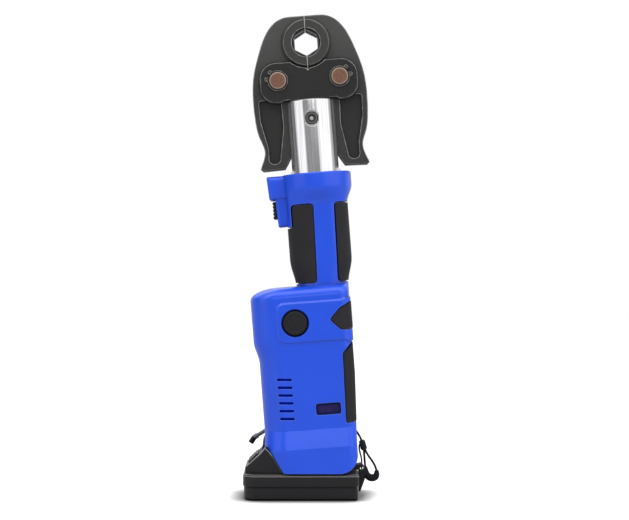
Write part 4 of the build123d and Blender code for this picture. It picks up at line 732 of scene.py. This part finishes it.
def add_return_spring(wire, steel):
    """A coil on the tool's axis: radius (cos a, sin a), rising evenly from the piston to its seat."""
    turn = np.linspace(0, 2 * pi * RETURN_COIL_TURNS, RETURN_COIL_STEPS)
    along = np.linspace(PISTON_TOP + wire, SPRING_SEAT - wire, len(turn))
    across = RETURN_COIL_RADIUS * np.cos(turn)
    depth = RETURN_COIL_RADIUS * np.sin(turn)
    path = np.stack(tool_point(across, depth, along), axis=1)
    axis = (-sin(LEAN), 0.0, cos(LEAN))
    coil = add_coil("return_coil", path, wire, steel, "return_spring", square=axis)
    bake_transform(coil)


def add_jaw_spring(side, sign, wire, steel):
    """Half of the hairpin: radius (sin a, -cos a) over its half turns, then a straight leg to the jaw."""
    turn = np.linspace(-JAW_COIL_HALF_TURNS * pi, 0, JAW_COIL_STEPS)
    leg = np.linspace(*JAW_LEG, JAW_LEG_STEPS)
    across = np.append(JAW_COIL_RADIUS * np.sin(turn), leg[:, 0])
    rise = np.append(-JAW_COIL_RADIUS * np.cos(turn), leg[:, 1])
    depth = np.append(np.linspace(0, JAW_COIL_DEPTH, len(turn)), np.full(len(leg), JAW_COIL_DEPTH))
    path = np.stack(tool_point(sign * across, sign * depth, SPRING_POST + rise), axis=1)
    coil = add_coil(side + "_jaw_coil", path, wire, steel, "jaw_spring")
    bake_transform(coil)


class PRESS_OT_springs(bpy.types.Operator):
    """Makes the springs under the button, above the ram and between the jaws"""
    bl_idname = "press.springs"
    bl_label = "Springs"

    def execute(self, context):
        wires = context.scene.press_springs
        steel = spring_steel().material
        add_button_spring(wires.button, steel)
        add_return_spring(wires.ram, steel)
        for side, sign in (("left", -1), ("right", 1)):
            add_jaw_spring(side, sign, wires.jaws, steel)
        return {"FINISHED"}


# Case

def backing_mesh(name, sign, heights):
    """A strip behind the vents: depth - r + sqrt(r^2 - t^2), with the round's r and t ahead of its start."""
    across = np.linspace(*VENT_SPAN, VENT_STEPS)
    ahead = np.minimum(across - VENT_ROUND_START, 0)
    depth = VENT_DEPTH - VENT_ROUND + np.sqrt(VENT_ROUND ** 2 - ahead ** 2)
    loop = np.append(across, across[::-1])
    skin = sign * np.append(depth, depth[::-1] - VENT_WALL)
    rings = np.stack([np.stack(tool_point(loop, skin, along), axis=1) for along in heights])
    return ring_mesh(name, rings[:, ::-sign])


class PRESS_OT_case(bpy.types.Operator):
    """Finishes the moulded case, its rubber pads and the side hook, and backs the vents"""
    bl_idname = "press.case"
    bl_label = "Case and pads"

    def execute(self, context):
        finishes = context.scene.press_finishes
        rubber = moulded("grip_rubber", finishes.rubber, 0.62, finishes.grain * 1.6, 0.0002, specular=0.15)
        dress(BLUE_NODES, blue_plastic(finishes), CRISP)
        dress(RUBBER_NODES, rubber)
        dress(["side_hook"], hook_wire(finishes))
        backing = vent_blue(finishes).material
        for side, sign in (("left", -1), ("right", 1)):
            for strip, heights in VENT_STRIPS.items():
                name = side + "_" + strip + "_vent_backing"
                add_piece(name, backing_mesh(name, sign, heights), backing)
        return {"FINISHED"}


# Nodes that only get a finish

class PRESS_OT_head(bpy.types.Operator):
    """Finishes the chrome head and the jaw set"""
    bl_idname = "press.head"
    bl_label = "Head and jaws"

    def execute(self, context):
        finishes = context.scene.press_finishes
        chrome = turned_metal("polished_chrome", finishes.chrome, 0.13, size=0.0006, depth=0.00003,
                              stretch=60.0, metallic=0.93, low=0.74)
        clip = worn_steel("clip_black", shade(finishes.jaw, 0.6), shade(finishes.bare, 1.6), wear=0.0005)
        dress(["head_tube"], chrome)
        dress(["retaining_pin"], socket_pin(finishes))
        dress(JAW_NODES, worn_steel("forged_black", finishes.jaw, finishes.bare, jaw=True))
        dress(PLATE_NODES, worn_steel("plate_black", shade(finishes.jaw, 0.48), finishes.bare))
        for name in PIN_NODES:
            dress([name], copper_pin(finishes, name))
        dress(["pin_clips"], clip)
        return {"FINISHED"}


class PRESS_OT_controls(bpy.types.Operator):
    """Finishes the trigger, button, window, dock and battery"""
    bl_idname = "press.controls"
    bl_label = "Controls and battery"

    def execute(self, context):
        finishes = context.scene.press_finishes
        # Painted highlight on the black plastic's edges
        edge = shade(finishes.black_highlight, 0.2)
        dress(BLACK_NODES, moulded("black_plastic", finishes.black, 0.5, finishes.grain, 0.0001, edge))
        dress(BATTERY_NODES, battery_plastic(finishes))
        dress(["indicator_window"], window_lens(finishes))
        return {"FINISHED"}


class PRESS_OT_drive(bpy.types.Operator):
    """Finishes the pieces inside the tool"""
    bl_idname = "press.drive"
    bl_label = "Inner pieces"

    def execute(self, context):
        cast = turned_metal("cast_aluminium", (0.55, 0.56, 0.58), 0.38, size=0.0015, depth=0.0001)
        dress(["pump_block"], cast)
        dress(STEEL_NODES, turned_metal("ground_steel", (0.5, 0.5, 0.52), 0.3))
        dress(SPRING_NODES, spring_steel())
        dress(BRONZE_NODES, turned_metal("bearing_bronze", (0.32, 0.20, 0.09), 0.4))
        dress(DRIVE_NODES, worn_steel("drive_black", (0.02, 0.02, 0.02), (0.08, 0.08, 0.08)))
        dress(BOARD_NODES, moulded("circuit_board", (0.008, 0.09, 0.025), 0.35, grain=0.001, depth=0.0001))
        dress(SEAL_NODES, moulded("seal_rubber", (0.02, 0.02, 0.02), 0.6, grain=0.0008, depth=0.0001))
        dress(["battery_cells"], moulded("cell_sleeve", (0.03, 0.20, 0.13), 0.4, grain=0.001, depth=0.00005))
        return {"FINISHED"}


# Studio

def make_floor(context):
    """A pale floor that is white where light falls on it, with a painted shadow where the tool stands on it.
    """
    corners = [(-FLOOR_HALF, -FLOOR_HALF, 0), (FLOOR_HALF, -FLOOR_HALF, 0), (FLOOR_HALF, FLOOR_HALF, 0),
               (-FLOOR_HALF, FLOOR_HALF, 0)]
    mesh = bpy.data.meshes.new("floor")
    mesh.from_pydata(corners, [], [(0, 1, 2, 3)])
    finish = Finish("pale_floor", roughness=0.8)
    # Painted shadow on the floor where the tool stands
    shadow_fall = [(0.5, 0.16), (0.6, 0.28), (0.8, 0.62), (0.93, 0.9), (0.98, 1.0)]
    clear_of_shadow = finish.ramp(finish.open_sky(FLOOR_SHADOW), shadow_fall)
    pale = finish.mottle((0.5, 0.5, 0.5), size=0.3, low=0.99, high=1.01)
    finish.colour(finish.blend(finish.maths("SUBTRACT", 1.0, clear_of_shadow), pale, (0.0, 0.0, 0.0)))
    seen = finish.node("ShaderNodeLightPath").outputs["Is Camera Ray"]
    glow = finish.maths("MULTIPLY", finish.maths("MULTIPLY", seen, FLOOR_GLOW), clear_of_shadow)
    finish.feed(finish.shader.inputs["Emission Color"], (1, 1, 1, 1))
    finish.feed(finish.shader.inputs["Emission Strength"], glow)
    mesh.materials.append(finish.material)
    floor = bpy.data.objects.new("floor", mesh)
    context.scene.collection.objects.link(floor)


def make_world(context):
    """White to the camera; elsewhere bright and dark panels that the chrome mirrors, paler overhead."""
    world = bpy.data.worlds.new("studio")
    context.scene.world = world
    world.use_nodes = True
    wiring = Wiring(world.node_tree)
    towards = wiring.node("ShaderNodeTexCoord").outputs["Generated"]
    split = wiring.node("ShaderNodeSeparateXYZ", Vector=towards)
    forward = wiring.maths("MULTIPLY", split.outputs["Y"], -1.0)
    turn = wiring.maths("ARCTAN2", split.outputs["X"], forward)
    share = wiring.node("ShaderNodeMapRange", Value=turn, From_Min=-pi, From_Max=pi).outputs[0]
    panels = wiring.ramp(share, [(degrees / 360 + 0.5, level) for degrees, level in SURROUND])
    rise = wiring.node("ShaderNodeMapRange", Value=split.outputs["Z"], From_Min=-1.0).outputs[0]
    strength = wiring.ramp(rise, [((height + 1) / 2, factor) for height, factor in HEIGHTS])
    seen = wiring.node("ShaderNodeLightPath").outputs["Is Camera Ray"]
    background = world.node_tree.nodes["Background"]
    wiring.feed(background.inputs["Color"], wiring.blend(seen, panels, (1, 1, 1)))
    wiring.feed(background.inputs["Strength"], strength)


def make_light(context, name, place, width, height, watts):
    """A soft box at a place, turned to the tool."""
    data = bpy.data.lights.new(name, "AREA")
    data.shape = "RECTANGLE"
    data.size = width
    data.size_y = height
    data.energy = watts
    light = bpy.data.objects.new(name, data)
    light.location = place
    light.rotation_euler = (Vector(LIGHT_AIM) - light.location).to_track_quat("-Z", "Y").to_euler()
    context.scene.collection.objects.link(light)


def make_camera(context, stage):
    """A long lens level with the tool's middle, so that one pixel is the stated width at Y = 0."""
    data = bpy.data.cameras.new("camera")
    data.sensor_width = SENSOR_WIDTH
    data.lens = SENSOR_WIDTH * stage.distance / (stage.scale * IMAGE_WIDTH)
    camera = bpy.data.objects.new("camera", data)
    aim = Vector((stage.aim_x, 0, stage.aim_z))
    camera.location = aim + stage.distance * Vector((sin(stage.azimuth), -cos(stage.azimuth), 0))
    camera.rotation_euler = (radians(90), 0, stage.azimuth)
    context.scene.collection.objects.link(camera)
    context.scene.camera = camera


class PRESS_OT_stage(bpy.types.Operator):
    """Sets the floor, the studio light and the camera"""
    bl_idname = "press.stage"
    bl_label = "Studio"

    def execute(self, context):
        stage = context.scene.press_stage
        make_floor(context)
        make_world(context)
        make_light(context, "key", *KEY_LIGHT, stage.key)
        make_light(context, "front", *FRONT_LIGHT, stage.front)
        make_camera(context, stage)
        context.scene.view_settings.view_transform = "Standard"
        return {"FINISHED"}


class PRESS_PT_looks(bpy.types.Panel):
    """Lists the steps that dress the tool"""
    bl_idname = "PRESS_PT_looks"
    bl_label = "Press tool"
    bl_space_type = "VIEW_3D"
    bl_region_type = "UI"
    bl_category = "Press tool"

    def draw(self, context):
        for step in STEPS:
            self.layout.operator(step.bl_idname)


GROUPS = {"press_finishes": PressFinishes, "press_strap": PressStrap, "press_springs": PressSprings,
          "press_stage": PressStage}
STEPS = (PRESS_OT_strap, PRESS_OT_springs, PRESS_OT_case, PRESS_OT_head, PRESS_OT_controls, PRESS_OT_drive,
         PRESS_OT_stage)


def register():
    for group in (*GROUPS.values(), *STEPS, PRESS_PT_looks):
        bpy.utils.register_class(group)
    for name, group in GROUPS.items():
        setattr(bpy.types.Scene, name, PointerProperty(type=group))


def unregister():
    for name in GROUPS:
        delattr(bpy.types.Scene, name)
    for group in (PRESS_PT_looks, *reversed(STEPS), *GROUPS.values()):
        bpy.utils.unregister_class(group)


def main():
    register()
    bpy.ops.press.strap()
    bpy.ops.press.springs()
    bpy.ops.press.case()
    bpy.ops.press.head()
    bpy.ops.press.controls()
    bpy.ops.press.drive()
    bpy.ops.press.stage()


if __name__ == "__main__":
    main()
